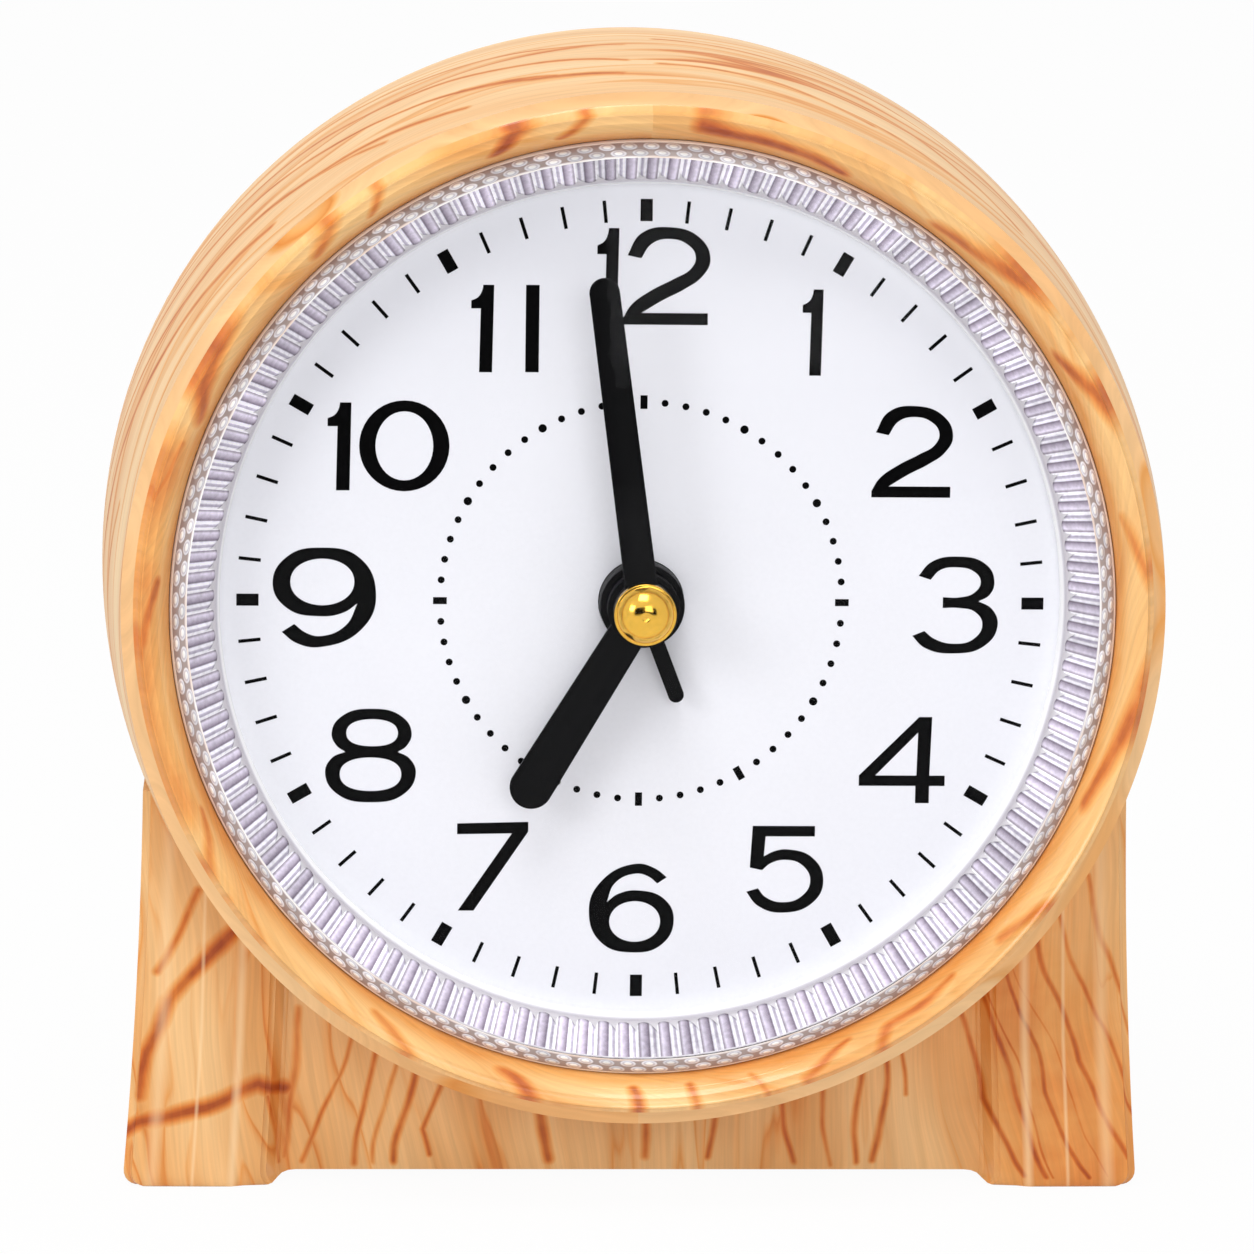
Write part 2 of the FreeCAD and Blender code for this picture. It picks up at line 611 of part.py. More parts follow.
button_posts = [rod(f"button_post_{n}", S.button_post, button_board_back, cover_inner,
                    S.button_post_x * side, button_middle) for n, side in enumerate((-1, 1))]
cover_shell = cut("cover_shell", fuse("cap_solid", cap_outer, base_cap), cap_hollow, base_cap_hollow)
rear_cover = cut("rear_cover", fuse("cover_solid", cover_shell, recess_shell, bay_shell, door_frame,
                                    *cover_bosses, *switch_posts, *button_posts),
                 recess_space, bay_space, door_space, pin_holes, *cover_holes, *cover_counterbores,
                 *arbor_holes, switch_slot, button_hole, *sound_slots, arch_cutter("rear_arch"))
keep(rear_cover, "rear_cover")

# Battery door, hinged on two pins along its lower edge.
door_panel = box("door_panel", -S.door_half, S.door_half, door_back, door_back + S.door_thick, hinge_z,
                 -S.door_top)
door_edge = rod_across("door_edge", S.door_thick / 2, -S.door_half, S.door_half, hinge_depth, hinge_z)
door_pins = rod_across("door_pins", S.pin_radius, -pin_reach, pin_reach, hinge_depth, hinge_z)
keep(fuse("battery_door", door_panel, door_edge, door_pins), "battery_door")

# Lens: domed window with a rim through the bezel and a flange behind its lip.
lens_rim_radius = S.window_radius - S.lens_rim_play
lens_back = S.lip_back - S.lens_rim_play / 2
flange_radius = S.stack_radius - S.seat_play
inner_reach = S.lens_reach - S.lens_wall
skirt_reach = S.lens_crown_reach - S.lens_wall
lens = turned("lens", [
    (0, -S.lens_reach),
    (0, -inner_reach),
    (S.lens_skirt_radius, -skirt_reach),
    (S.ring_shoulder_radius + S.run_play, S.lens_flange - lens_back),
    (flange_radius, S.lens_flange - lens_back),
    (flange_radius, -lens_back),
    (lens_rim_radius, -lens_back),
    (lens_rim_radius, -S.lens_rim_reach),
    (S.lens_crown_radius, -S.lens_crown_reach),
], {1: (sagitta_radius(S.lens_skirt_radius, inner_reach - skirt_reach), -1),
    8: (sagitta_radius(S.lens_crown_radius, S.lens_reach - S.lens_crown_reach), 1)})
keep(lens, "lens")

# Ribbed ring: clear cone with radial prisms cut into its inner face.
ring_blank = turned("ring_blank", [
    (S.ring_inner_radius, 0),
    (S.ring_inner_radius, -S.ring_lip),
    (S.ring_rib_radius, -S.ring_lip),
    (S.ring_top_radius, -S.ring_top_reach),
    (S.ring_shoulder_radius, S.lens_flange - lens_back + S.seat_play / 3),
    (flange_radius, S.lens_flange - lens_back + S.seat_play / 3),
    (flange_radius, 0),
])


def star(radius, depth, y):
    """A wire of V-shaped grooves around the hand axis."""
    count = round(S.rib_count.value)
    corners = []
    for index in range(2 * count):
        angle = math.pi * index / count
        reach = radius + depth * (index % 2)
        corners.append(Vector(reach * math.cos(angle), y, reach * math.sin(angle)))
    return Part.makePolygon(corners + corners[:1])


rib_cone = document.addObject("Part::Feature", "rib_cone")
rib_cone.Shape = Part.makeLoft([
    star(S.ring_rib_radius.value, S.rib_height.value, -S.ring_lip.value),
    star(S.ring_top_radius.value, S.rib_height.value / 2, -S.ring_top_reach.value),
], True, True)
keep(cut("ribbed_ring", ring_blank, put(rib_cone, 0, 0, 0)), "ribbed_ring")

# Dial and its carrier with four pillars for the case screws.
keep(cut("dial", rod("dial_disc", S.dial_radius, 0, S.dial_thick),
         rod("dial_bore", S.dial_hole, -S.overrun, S.dial_thick + S.overrun)), "dial")
carrier_back = S.dial_thick + S.carrier_thick
carrier_radius = S.stack_radius - S.seat_play
lug_end = S.movement_half + S.lug_reach
lug_middle = S.movement_half + S.lug_reach / 2
pillars = [rod(f"pillar_{n}", S.pillar_radius, carrier_back, boss_front, x, z)
           for n, (x, z) in enumerate(pillar_spots)]
pilots = [rod(f"pilot_{n}", S.screw_radius + S.press_play, boss_front - S.pilot_depth,
              boss_front + S.overrun, x, z) for n, (x, z) in enumerate(pillar_spots)]
SMALL_SCREW_SHARE = 0.75
small_screw = S.screw_radius * SMALL_SCREW_SHARE
small_head = S.screw_head * SMALL_SCREW_SHARE
small_head_height = S.screw_head_height * SMALL_SCREW_SHARE
small_screw_tip = S.dial_thick + S.dial_thick / 2
lug_pilots = [rod(f"lug_pilot_{n}", small_screw + S.press_play, small_screw_tip,
                  carrier_back + S.overrun, lug_middle * side, 0) for n, side in enumerate((-1, 1))]
lamp_spots = [(S.lamp_orbit * sine(S.lamp_angle) * side, S.lamp_orbit * cosine(S.lamp_angle))
              for side in (-1, 1)]
lamp_holes = [rod(f"lamp_hole_{n}", S.lamp_radius + S.run_play, -S.overrun, carrier_back + S.overrun, x, z)
              for n, (x, z) in enumerate(lamp_spots)]
carrier_disc = cut("carrier_disc", rod("carrier_blank", carrier_radius, 0, carrier_back),
                   rod("carrier_seat", S.dial_radius + S.seat_play / 2, -S.overrun, S.dial_thick))
keep(cut("dial_carrier", fuse("carrier_solid", carrier_disc, *pillars),
         rod("carrier_bore", S.dial_hole, 0, carrier_back + S.overrun), *pilots, *lug_pilots, *lamp_holes),
     "dial_carrier")
lamps = [fuse(f"lamp_{n}", rod(f"lamp_body_{n}", S.lamp_radius, S.seat_play, S.lamp_length, x, z),
              rod(f"lamp_flange_{n}", S.lamp_radius + S.lamp_flange, carrier_back, S.lamp_length, x, z))
         for n, (x, z) in enumerate(lamp_spots)]
keep(fuse("dial_lamps", *lamps), "dial_lamps")
CROSS_REACH_SHARE = 0.6
CROSS_HALF_SHARE = 0.12
cross_reach = S.screw_head * CROSS_REACH_SHARE
cross_half = S.screw_head * CROSS_HALF_SHARE
screws = [fuse(f"case_screw_{n}",
               rod(f"case_screw_shank_{n}", S.screw_radius, head_front - S.screw_length, head_front, x, z),
               cut(f"case_screw_top_{n}",
                   rod(f"case_screw_head_{n}", S.screw_head, head_front, head_front + S.screw_head_height, x, z),
                   box(f"case_screw_slot_{n}", x - cross_reach, x + cross_reach,
                       head_front + S.screw_head_height / 2, head_front + S.screw_head_height + S.overrun,
                       z - cross_half, z + cross_half),
                   box(f"case_screw_cross_{n}", x - cross_half, x + cross_half,
                       head_front + S.screw_head_height / 2, head_front + S.screw_head_height + S.overrun,
                       z - cross_reach, z + cross_reach)))
          for n, (x, z) in enumerate(pillar_spots)]
keep(fuse("case_screws", *screws), "case_screws")

# Radii of the tubes nested on the hand axis, from the inside out.
minute_bore = S.seconds_arbor + S.run_play
minute_tube = minute_bore + S.tube_wall
hour_bore = minute_tube + S.run_play
hour_tube = hour_bore + S.tube_wall
alarm_bore = hour_tube + S.run_play
alarm_tube = alarm_bore + S.tube_wall
collar_bore = alarm_tube + S.run_play
collar_radius = collar_bore + S.collar_wall


# A hand ends in a half circle, a hair larger than half its width so that the arc stays solvable.
ROUND_TIP_SHARE = 0.501


def hand(name, label, length, width, tip, level, boss, bore, turn):
    """A hand with a round tip on a pressed boss, drawn upright and turned to its hour."""
    blade = plate(f"{name}_blade", [
        (-width / 2, 0),
        (-tip / 2, length - tip / 2),
        (tip / 2, length - tip / 2),
        (width / 2, 0),
    ], -level, S.hand_thick - level, {1: (tip * ROUND_TIP_SHARE, 1)})
    hub = rod(f"{name}_hub", boss, -level - S.boss_rise, S.hand_thick - level + S.boss_drop)
    hole = rod(f"{name}_hole", bore + S.press_play, -level - S.boss_rise - S.overrun,
               S.hand_thick - level + S.boss_drop + S.overrun)
    keep(cut(name, fuse(f"{name}_solid", blade, hub), hole), label, turn)


hand("alarm_hand", "alarm_hand", S.alarm_length, S.alarm_width, S.alarm_width, S.alarm_level + S.boss_drop,
     S.alarm_boss, alarm_tube, S.alarm_angle)
hand("hour_hand", "hour_hand", S.hour_length, S.hour_width, S.hour_tip, S.hour_level + S.boss_drop,
     S.hour_boss, hour_tube, S.hour_angle)
hand("minute_hand", "minute_hand", S.minute_length, S.minute_width, S.minute_tip, S.minute_level + S.boss_drop,
     S.minute_boss, minute_tube, S.minute_angle)
cap_top = S.cap_level + S.cap_height
centre_cap = turned("centre_cap", [
    (0, -cap_top),
    (0, -cap_top + S.tube_wall),
    (S.seconds_arbor + S.press_play, -cap_top + S.tube_wall),
    (S.seconds_arbor + S.press_play, -S.cap_level),
    (S.cap_radius, -S.cap_level),
    (S.cap_radius, -S.cap_level - S.cap_rim),
], {5: (sagitta_radius(S.cap_radius, S.cap_height - S.cap_rim), 1)})
keep(centre_cap, "centre_cap")

# Movement case.
plate_back = carrier_back + S.front_plate
half = S.movement_half
front_block = box("front_block", -half, half, carrier_back, plate_back, -half, half)
lugs = box("front_lugs", -lug_end, lug_end, carrier_back, plate_back, -S.lug_half, S.lug_half)
collar = rod("front_collar", collar_radius, -S.collar_reach, carrier_back)
leaf_post = box("leaf_post", S.leaf_right - S.post_width, S.leaf_right, plate_back, S.leaf_depth,
                -S.leaf_centre - S.leaf_half, -S.leaf_centre + S.leaf_half)
lug_holes = [rod(f"lug_hole_{n}", small_screw + S.screw_play, carrier_back - S.overrun,
                 plate_back + S.overrun, lug_middle * side, 0) for n, side in enumerate((-1, 1))]
keep(cut("movement_front_plate", fuse("front_plate_solid", front_block, lugs, collar, leaf_post),
         rod("front_bore", collar_bore, -S.collar_reach - S.overrun, plate_back + S.overrun), *lug_holes),
     "movement_front_plate")
movement_screws = [fuse(f"movement_screw_{n}",
                        rod(f"movement_shank_{n}", small_screw, small_screw_tip + S.seat_play,
                            plate_back, lug_middle * side, 0),
                        rod(f"movement_head_{n}", small_head, plate_back,
                            plate_back + small_head_height, lug_middle * side, 0))
                   for n, side in enumerate((-1, 1))]
keep(fuse("movement_screws", *movement_screws), "movement_screws")

inner_half = half - S.movement_wall
shell_inner = S.movement_depth - S.movement_wall
middle_back = S.middle_depth + S.middle_thick
far_end = S.movement_depth - S.movement_wall / 2
pivots = [("rotor", rotor_x, rotor_z), ("step", size_of(0), step_reach), ("third", size_of(0), -third_reach)]


def pivot_holes(prefix, y0, y1):
    """Bearing holes of the running train."""
    return [rod(f"{prefix}_{name}_pivot", S.pivot_radius + S.run_play, y0, y1, x, z) for name, x, z in pivots]


def arbor_bearings(prefix, y0, y1):
    """Bearing holes of the two setting arbors."""
    return [rod(f"{prefix}_set_arbor", S.arbor_radius + S.run_play, y0, y1, -set_reach, 0),
            rod(f"{prefix}_alarm_arbor", S.arbor_radius + S.run_play, y0, y1, alarm_reach, 0)]


board_posts = [box(f"board_post_{n}", inner_half - S.post_width - S.board_inset, inner_half,
                   S.board_depth + S.board_thick, shell_inner, z - S.post_width / 2, z + S.post_width / 2)
               for n, z in enumerate((S.board_top - S.post_width * 2, -S.board_bottom + S.post_width * 2))]
corner_z = S.post_width - inner_half
plate_posts = [box("plate_post_left", -inner_half, corner_z, middle_back, shell_inner, -inner_half, corner_z),
               box("plate_post_right", -corner_z, inner_half, middle_back, shell_inner, -inner_half, corner_z)]
shell_block = cut("shell_block", box("shell_outer", -half, half, plate_back, S.movement_depth, -half, half),
                  box("shell_space", -inner_half, inner_half, plate_back - S.overrun, shell_inner, -inner_half,
                      inner_half))
keep(cut("movement_rear_shell", fuse("shell_solid", shell_block, *board_posts, *plate_posts),
         *pivot_holes("shell", shell_inner - S.overrun, S.movement_depth + S.overrun),
         rod("shell_seconds_pivot", S.seconds_arbor + S.run_play, shell_inner - S.overrun,
             S.movement_depth + S.overrun),
         *arbor_bearings("shell", shell_inner - S.overrun, S.movement_depth + S.overrun)),
     "movement_rear_shell")
middle_block = box("middle_block", -inner_half, inner_half, S.middle_depth, middle_back, -inner_half,
                   S.middle_top)
motion_stud = rod("motion_stud", S.stud_radius, S.hour_layer, S.middle_depth, -motion_reach, 0)
middle_posts = [box(f"middle_post_{n}", x0, x0 + S.post_width, plate_back, S.middle_depth, z0,
                    z0 + S.post_width)
                for n, (x0, z0) in enumerate(((-inner_half, -inner_half), (inner_half - S.post_width, -inner_half),
                                              (-inner_half, S.middle_top - S.post_width),
                                              (inner_half - S.post_width, S.middle_top - S.post_width)))]
keep(cut("movement_middle_plate", fuse("middle_solid", middle_block, motion_stud, *middle_posts),
         *pivot_holes("middle", S.middle_depth - S.overrun, middle_back + S.overrun),
         rod("middle_minute_bearing", minute_tube + S.run_play, S.middle_depth - S.overrun,
             middle_back + S.overrun),
         *arbor_bearings("middle", S.middle_depth - S.overrun, middle_back + S.overrun)),
     "movement_middle_plate")

# Motion work and alarm work, in mesh along the X axis.
keep(cut("alarm_wheel", fuse("alarm_wheel_solid",
                             wheel("alarm_wheel_teeth", S.alarm_teeth, S.alarm_module, S.alarm_layer,
                                   S.alarm_layer + S.wheel_thick, phase=0.0),
                             rod("alarm_wheel_tube", alarm_tube, -S.alarm_level - S.boss_drop - S.boss_rise,
                                 S.alarm_layer)),
         rod("alarm_wheel_bore", alarm_bore, -S.lens_reach, S.hour_layer)), "alarm_wheel")
keep(cut("hour_wheel", fuse("hour_wheel_solid",
                            wheel("hour_wheel_teeth", S.hour_teeth, hour_module, S.hour_layer,
                                  S.hour_layer + S.wheel_thick, phase=180.0),
                            rod("hour_wheel_tube", hour_tube, -S.hour_level - S.boss_drop - S.boss_rise,
                                S.hour_layer)),
         rod("hour_wheel_bore", hour_bore, -S.lens_reach, S.motion_layer)), "hour_wheel")
keep(cut("minute_arbor", fuse("minute_arbor_solid",
                              wheel("cannon_teeth", S.cannon_teeth, S.motion_module, S.motion_layer,
                                    S.motion_layer + S.wheel_thick + S.pinion_lap, phase=180.0),
                              rod("minute_tube", minute_tube, -S.minute_level - S.boss_drop - S.boss_rise,
                                  S.centre_layer + S.wheel_thick + S.wheel_thick / 4),
                              rod("minute_collar", minute_tube + S.tube_wall / 2,
                                  S.centre_layer + S.wheel_thick + S.run_play,
                                  S.centre_layer + S.wheel_thick + S.wheel_thick / 4)),
         rod("minute_bore_cutter", minute_bore, -S.lens_reach, S.seconds_layer)), "minute_arbor")
keep(cut("motion_wheel", fuse("motion_wheel_solid",
                              wheel("motion_wheel_teeth", S.motion_teeth, S.motion_module, S.motion_layer,
                                    S.motion_layer + S.wheel_thick, -motion_reach, 0,
                                    gap_phase(0.0, S.motion_teeth)),
                              wheel("motion_pinion_teeth_part", S.motion_pinion_teeth, hour_module,
                                    S.hour_layer - S.pinion_lap, S.motion_layer, -motion_reach, 0,
                                    gap_phase(0.0, S.motion_pinion_teeth))),
         rod("motion_wheel_bore", S.stud_radius + S.run_play, S.hour_layer - S.overrun,
             S.middle_depth, -motion_reach, 0)), "motion_wheel")
motion_left_tooth = round(S.motion_teeth.value) % 2
set_phase = gap_phase(0.0, S.set_teeth) if motion_left_tooth else 0.0
keep(fuse("time_set_arbor",
          wheel("set_teeth_part", S.set_teeth, S.motion_module, S.motion_layer - S.pinion_lap,
                S.motion_layer + S.wheel_thick + S.pinion_lap, -set_reach, 0, set_phase),
          rod("set_arbor_rod", S.arbor_radius, S.hour_layer, recess_floor + S.knob_gap + S.arbor_grip,
              -set_reach, 0)), "time_set_arbor")
keep(fuse("alarm_set_arbor",
          wheel("alarm_pinion_teeth_part", S.alarm_pinion_teeth, S.alarm_module,
                S.alarm_layer - S.alarm_idler_lap, S.alarm_layer + S.wheel_thick + S.alarm_idler_lap,
                alarm_reach, 0, gap_phase(180.0, S.alarm_pinion_teeth)),
          rod("alarm_arbor_rod", S.arbor_radius, S.alarm_layer - S.alarm_idler_lap,
              recess_floor + S.knob_gap + S.arbor_grip, alarm_reach, 0)), "alarm_set_arbor")

# Running train: rotor, step wheel, seconds wheel, third wheel and centre gear.
keep(cut("centre_gear",
         wheel("centre_gear_teeth", S.centre_teeth, centre_module, S.centre_layer,
               S.centre_layer + S.wheel_thick, phase=gap_phase(-90.0, S.centre_teeth)),
         rod("centre_gear_bore", minute_tube + S.run_play, S.middle_depth, S.seconds_layer)), "centre_gear")
keep(fuse("seconds_wheel",
          wheel("seconds_wheel_teeth", S.seconds_teeth, S.seconds_module, S.seconds_layer,
                S.seconds_layer + S.wheel_thick, phase=gap_phase(90.0, S.seconds_teeth)),
          wheel("seconds_pinion", S.seconds_pinion_teeth, S.third_module, S.seconds_layer + S.wheel_thick,
                S.third_layer + S.wheel_thick + S.pinion_lap, phase=-90.0),
          rod("seconds_arbor_rod", S.seconds_arbor, -cap_top + S.tube_wall + S.press_play, far_end)),
     "seconds_wheel")
keep(fuse("third_wheel",
          wheel("third_wheel_teeth", S.third_teeth, S.third_module, S.third_layer,
                S.third_layer + S.wheel_thick, 0, -third_reach, gap_phase(90.0, S.third_teeth)),
          wheel("third_pinion", S.third_pinion_teeth, centre_module, S.centre_layer - S.pinion_lap,
                S.centre_layer + S.wheel_thick + S.pinion_lap, 0, -third_reach, 90.0),
          rod("third_arbor", S.pivot_radius, S.middle_depth + S.pinion_lap, far_end, 0, -third_reach)),
     "third_wheel")
keep(fuse("step_wheel",
          wheel("step_wheel_teeth", S.step_teeth, S.step_module, S.step_layer, S.step_layer + S.wheel_thick, 0,
                step_reach, gap_phase(S.rotor_angle.value, S.step_teeth)),
          wheel("step_pinion", S.step_pinion_teeth, S.seconds_module, S.seconds_layer - S.pinion_lap,
                S.seconds_layer + S.wheel_thick + S.pinion_lap, 0, step_reach, -90.0),
          rod("step_arbor", S.pivot_radius, S.middle_depth + S.pinion_lap, far_end, 0, step_reach)),
     "step_wheel")
keep(fuse("rotor",
          wheel("rotor_pinion", S.rotor_teeth, S.step_module, S.magnet_depth + S.magnet_height,
                S.step_layer + S.wheel_thick + S.pinion_lap, rotor_x, rotor_z, S.rotor_angle.value + 180.0),
          rod("rotor_magnet", S.magnet_radius, S.magnet_depth, S.magnet_depth + S.magnet_height, rotor_x,
              rotor_z),
          rod("rotor_arbor", S.pivot_radius, S.middle_depth + S.pinion_lap, far_end, rotor_x, rotor_z)),
     "rotor")

# Stepping motor: stator round the rotor, its core, the bobbin and the winding.
stator_back = S.stator_depth + S.stator_thick
core_z0 = S.core_height - S.core_half
core_z1 = S.core_height + S.core_half
pole_block = box("pole_block", S.pole_left, S.pole_right, S.stator_depth, stator_back, S.pole_bottom, S.pole_top)
yoke = box("yoke", -S.pole_right, S.pole_left, S.stator_depth, stator_back, S.yoke_bottom, S.yoke_top)
left_leg = box("left_leg", -S.pole_right, S.yoke_leg - S.pole_right, S.stator_depth, stator_back, S.yoke_bottom,
               core_z1)
right_leg = box("right_leg", S.pole_right - S.yoke_leg, S.pole_right, S.stator_depth, stator_back,
                S.pole_bottom, core_z1)
core = box("core", -S.pole_right, S.pole_right, S.stator_depth, stator_back, core_z0, core_z1)
keep(cut("stator", fuse("stator_solid", pole_block, yoke, left_leg, right_leg, core),
         rod("rotor_hole", S.magnet_radius + S.stator_gap, S.stator_depth - S.overrun, stator_back + S.overrun,
             rotor_x, rotor_z)), "stator")
core_y = S.stator_depth + S.stator_thick / 2
tunnel_radius = root(S.core_half * S.core_half + S.stator_thick * S.stator_thick / 4) + S.run_play
bobbin_tube = tunnel_radius + S.bobbin_wall
bobbin_end = S.coil_half + S.bobbin_cheek
keep(cut("coil_bobbin", fuse("bobbin_solid",
                             rod_across("bobbin_tube", bobbin_tube, -bobbin_end, bobbin_end, core_y,
                                        S.core_height),
                             rod_across("bobbin_cheek_left", S.bobbin_radius, -bobbin_end, -S.coil_half, core_y,
                                        S.core_height),
                             rod_across("bobbin_cheek_right", S.bobbin_radius, S.coil_half, bobbin_end, core_y,
                                        S.core_height)),
         rod_across("bobbin_tunnel", tunnel_radius, -bobbin_end - S.overrun, bobbin_end + S.overrun, core_y,
                    S.core_height)), "coil_bobbin")
keep(cut("coil_winding",
         rod_across("winding_outer", S.coil_radius, -S.coil_half, S.coil_half, core_y, S.core_height),
         rod_across("winding_inner", bobbin_tube, -S.coil_half - S.overrun, S.coil_half + S.overrun, core_y,
                    S.core_height)), "coil_winding")

# Circuit board with crystal and chip, and the alarm contact leaf.
board_right = inner_half - S.board_inset
board_back = S.board_depth + S.board_thick
board_x = (S.board_left + board_right) / 2
keep(box("circuit_board", S.board_left, board_right, S.board_depth, board_back, -S.board_bottom, S.board_top),
     "circuit_board")
keep(rod_up("quartz_crystal", S.crystal_radius, S.crystal_height - S.crystal_length, S.crystal_height, board_x,
            S.board_depth - S.crystal_radius), "quartz_crystal")
keep(rod("timer_chip", S.chip_radius, S.board_depth - S.chip_thick, S.board_depth, board_x,
         -S.crystal_height - S.crystal_length), "timer_chip")
keep(box("alarm_contact_leaf", S.leaf_left, S.leaf_right, S.leaf_depth, S.leaf_depth + S.leaf_thick,
         -S.leaf_centre - S.leaf_half, -S.leaf_centre + S.leaf_half), "alarm_contact_leaf")


def knob(name, x):
    """A setting knob with finger grooves round its edge."""
    front = recess_floor + S.knob_gap
    back = front + S.knob_height
    disc = rod(f"{name}_disc", S.knob_radius, front, back, x, 0)
    grooves = document.addObject("Part::Feature", f"{name}_grooves")
    count = round(S.knurl_count.value)
    flutes = []
    for index in range(count):
        angle = 2 * math.pi * index / count
        reach = S.knob_radius.value
        flutes.append(Part.makeCylinder(S.knob_groove.value, S.knob_height.value + S.overrun.value,
                                        Vector(reach * math.cos(angle), -S.overrun.value / 2,
                                               reach * math.sin(angle)), Vector(0, 1, 0)))
    grooves.Shape = Part.makeCompound(flutes)
    put(grooves, x, front, 0)
    arrow_dish = rod(f"{name}_dish", S.knob_radius - S.knob_rim, back - S.knob_groove, back + S.overrun, x, 0)
    bore = rod(f"{name}_bore", S.arbor_radius + S.press_play, front - S.overrun,
               front + S.arbor_grip + S.press_play, x, 0)
    keep(cut(name, disc, grooves, arrow_dish, bore), name)


knob("time_set_knob", -set_reach)
knob("alarm_set_knob", alarm_reach)

# Alarm slide switch at the off end of its travel, and its board.
slide_x = -S.switch_centre - S.switch_travel / 2
slide_head_front = recess_floor + S.seat_play
flange_back = recess_floor - S.recess_wall - S.seat_play
slide_head = box("slide_head", slide_x - S.switch_width / 2, slide_x + S.switch_width / 2, slide_head_front,
                 slide_head_front + S.slide_height, -S.switch_height / 2, S.switch_height / 2)
slide_groove = box("slide_groove", slide_x - S.knob_groove, slide_x + S.knob_groove,
                   slide_head_front + S.slide_height - S.slide_dip,
                   slide_head_front + S.slide_height + S.overrun,
                   -S.switch_height / 2 - S.overrun, S.switch_height / 2 + S.overrun)
slide_stem = box("slide_stem", slide_x - S.stem_width / 2, slide_x + S.stem_width / 2, flange_back,
                 slide_head_front, -S.stem_height / 2, S.stem_height / 2)
slide_flange = box("slide_flange", slide_x - S.switch_width / 2, slide_x + S.switch_width / 2,
                   flange_back - S.switch_flange, flange_back, -S.switch_height / 2, S.switch_height / 2)
keep(cut("alarm_switch", fuse("slide_solid", slide_head, slide_stem, slide_flange), slide_groove),
     "alarm_switch")
keep(box("switch_board", -S.switch_centre - switch_post_x - S.switch_post * 2,
         -S.switch_centre + switch_post_x + S.switch_post * 2, switch_board_back - S.switch_board_thick,
         switch_board_back, -S.switch_height / 2 - S.switch_post, S.switch_height / 2 + S.switch_post),
     "switch_board")

# Snooze and light button, its board and the push switch under it.
button_back = S.case_depth - S.button_sink
button_top = S.button_bottom + S.button_height
button_front = button_back - S.button_thick
button_body = box("button_body", -S.button_half, S.button_half, button_front, button_back, S.button_bottom,
                  button_top)
button_lip = box("button_lip", -S.button_half - S.button_flange, S.button_half + S.button_flange, button_front,
                 cover_inner - S.seat_play, S.button_bottom - S.button_flange, button_top + S.button_flange)
button_edges = document.addObject("Part::Fillet", "button_edges")
button_edges.Base = fuse("button_solid", button_body, button_lip)
document.recompute()
round_edges = [index + 1 for index, edge in enumerate(button_edges.Base.Shape.Edges)
               if all(abs(vertex.Y - button_back.value) < S.press_play.value for vertex in edge.Vertexes)]
edge_radius = S.button_flange.value / 2
button_edges.Edges = [(index, edge_radius, edge_radius) for index in round_edges]
keep(button_edges, "snooze_button")
button_board_front = button_board_back - S.button_board_thick
board_half = S.button_post_x + S.button_post
keep(box("button_board", -board_half, board_half, button_board_front, button_board_back,
         S.button_bottom, button_top), "button_board")
push_back = button_front - S.button_travel - S.run_play * 2
keep(fuse("push_switch",
          box("push_switch_body", -S.push_switch / 2, S.push_switch / 2, button_board_back,
              push_back - S.plunger_rise, button_middle - S.push_switch / 2, button_middle + S.push_switch / 2),
          rod("push_plunger", S.plunger_radius, button_board_back, push_back, 0, button_middle)), "push_switch")

# Sounder disc in its ring behind the sound slots.
ring_outer = S.sounder_radius + S.run_play + S.sounder_ring_wall
ring_front = cover_inner - S.sounder_back - S.sounder_thick * 2
keep(cut("sounder_ring", rod("sounder_ring_blank", ring_outer, ring_front, cover_inner, 0, -S.slot_centre),
         rod("sounder_seat", S.sounder_radius + S.run_play, ring_front - S.overrun,
             cover_inner - S.sounder_back, 0, -S.slot_centre),
         rod("sounder_throat", S.sounder_radius - S.sounder_lip, ring_front, cover_inner + S.overrun, 0,
             -S.slot_centre)), "sounder_ring")
keep(rod("sounder_disc", S.sounder_radius, cover_inner - S.sounder_back - S.sounder_thick,
         cover_inner - S.sounder_back, 0, -S.slot_centre), "sounder_disc")

# Battery cell lying across the bay between its two contacts.
cell_y = door_back - S.seat_play - S.cell_radius
cell_z = (-S.bay_top - S.bay_bottom) / 2
cell_right = S.bay_half - S.plate_thick - S.press_play
cell_left = cell_right - S.cell_nub - S.cell_length
keep(fuse("battery_cell",
          rod_across("cell_body", S.cell_radius, cell_left, cell_left + S.cell_length, cell_y, cell_z),
          rod_across("cell_nub", S.cell_nub_radius, cell_left + S.cell_length, cell_right, cell_y, cell_z)),
     "battery_cell")
keep(box("battery_contact_plate", S.bay_half - S.plate_thick, S.bay_half, cell_y - S.contact_half,
         cell_y + S.contact_half, cell_z - S.contact_half, cell_z + S.contact_half), "battery_contact_plate")
keep(plate("battery_contact_spring", [
    (-S.bay_half, cell_z - S.contact_half),
    (S.plate_thick - S.bay_half, cell_z - S.contact_half),
    (S.plate_thick - S.bay_half, cell_z),
    (cell_left - S.plate_thick, cell_z + S.contact_foot),
    (cell_left - S.plate_thick, cell_z - S.contact_foot),
    (cell_left - S.press_play, cell_z - S.contact_foot),
    (cell_left - S.press_play, cell_z + S.contact_half),
    (cell_left - S.plate_thick, cell_z + S.contact_half),
    (-S.bay_half, cell_z + S.plate_thick),
], cell_y - S.contact_foot, cell_y + S.contact_foot), "battery_contact_spring")

document.recompute()
faults = [thing.Name for thing in document.Objects if {"Invalid", "Error"} & set(thing.State)]
faults += [thing.Label for thing in kept if thing.Shape.isNull() or not thing.Shape.isValid()]
if faults:
    raise RuntimeError(f"sub-parts that did not build: {faults}")

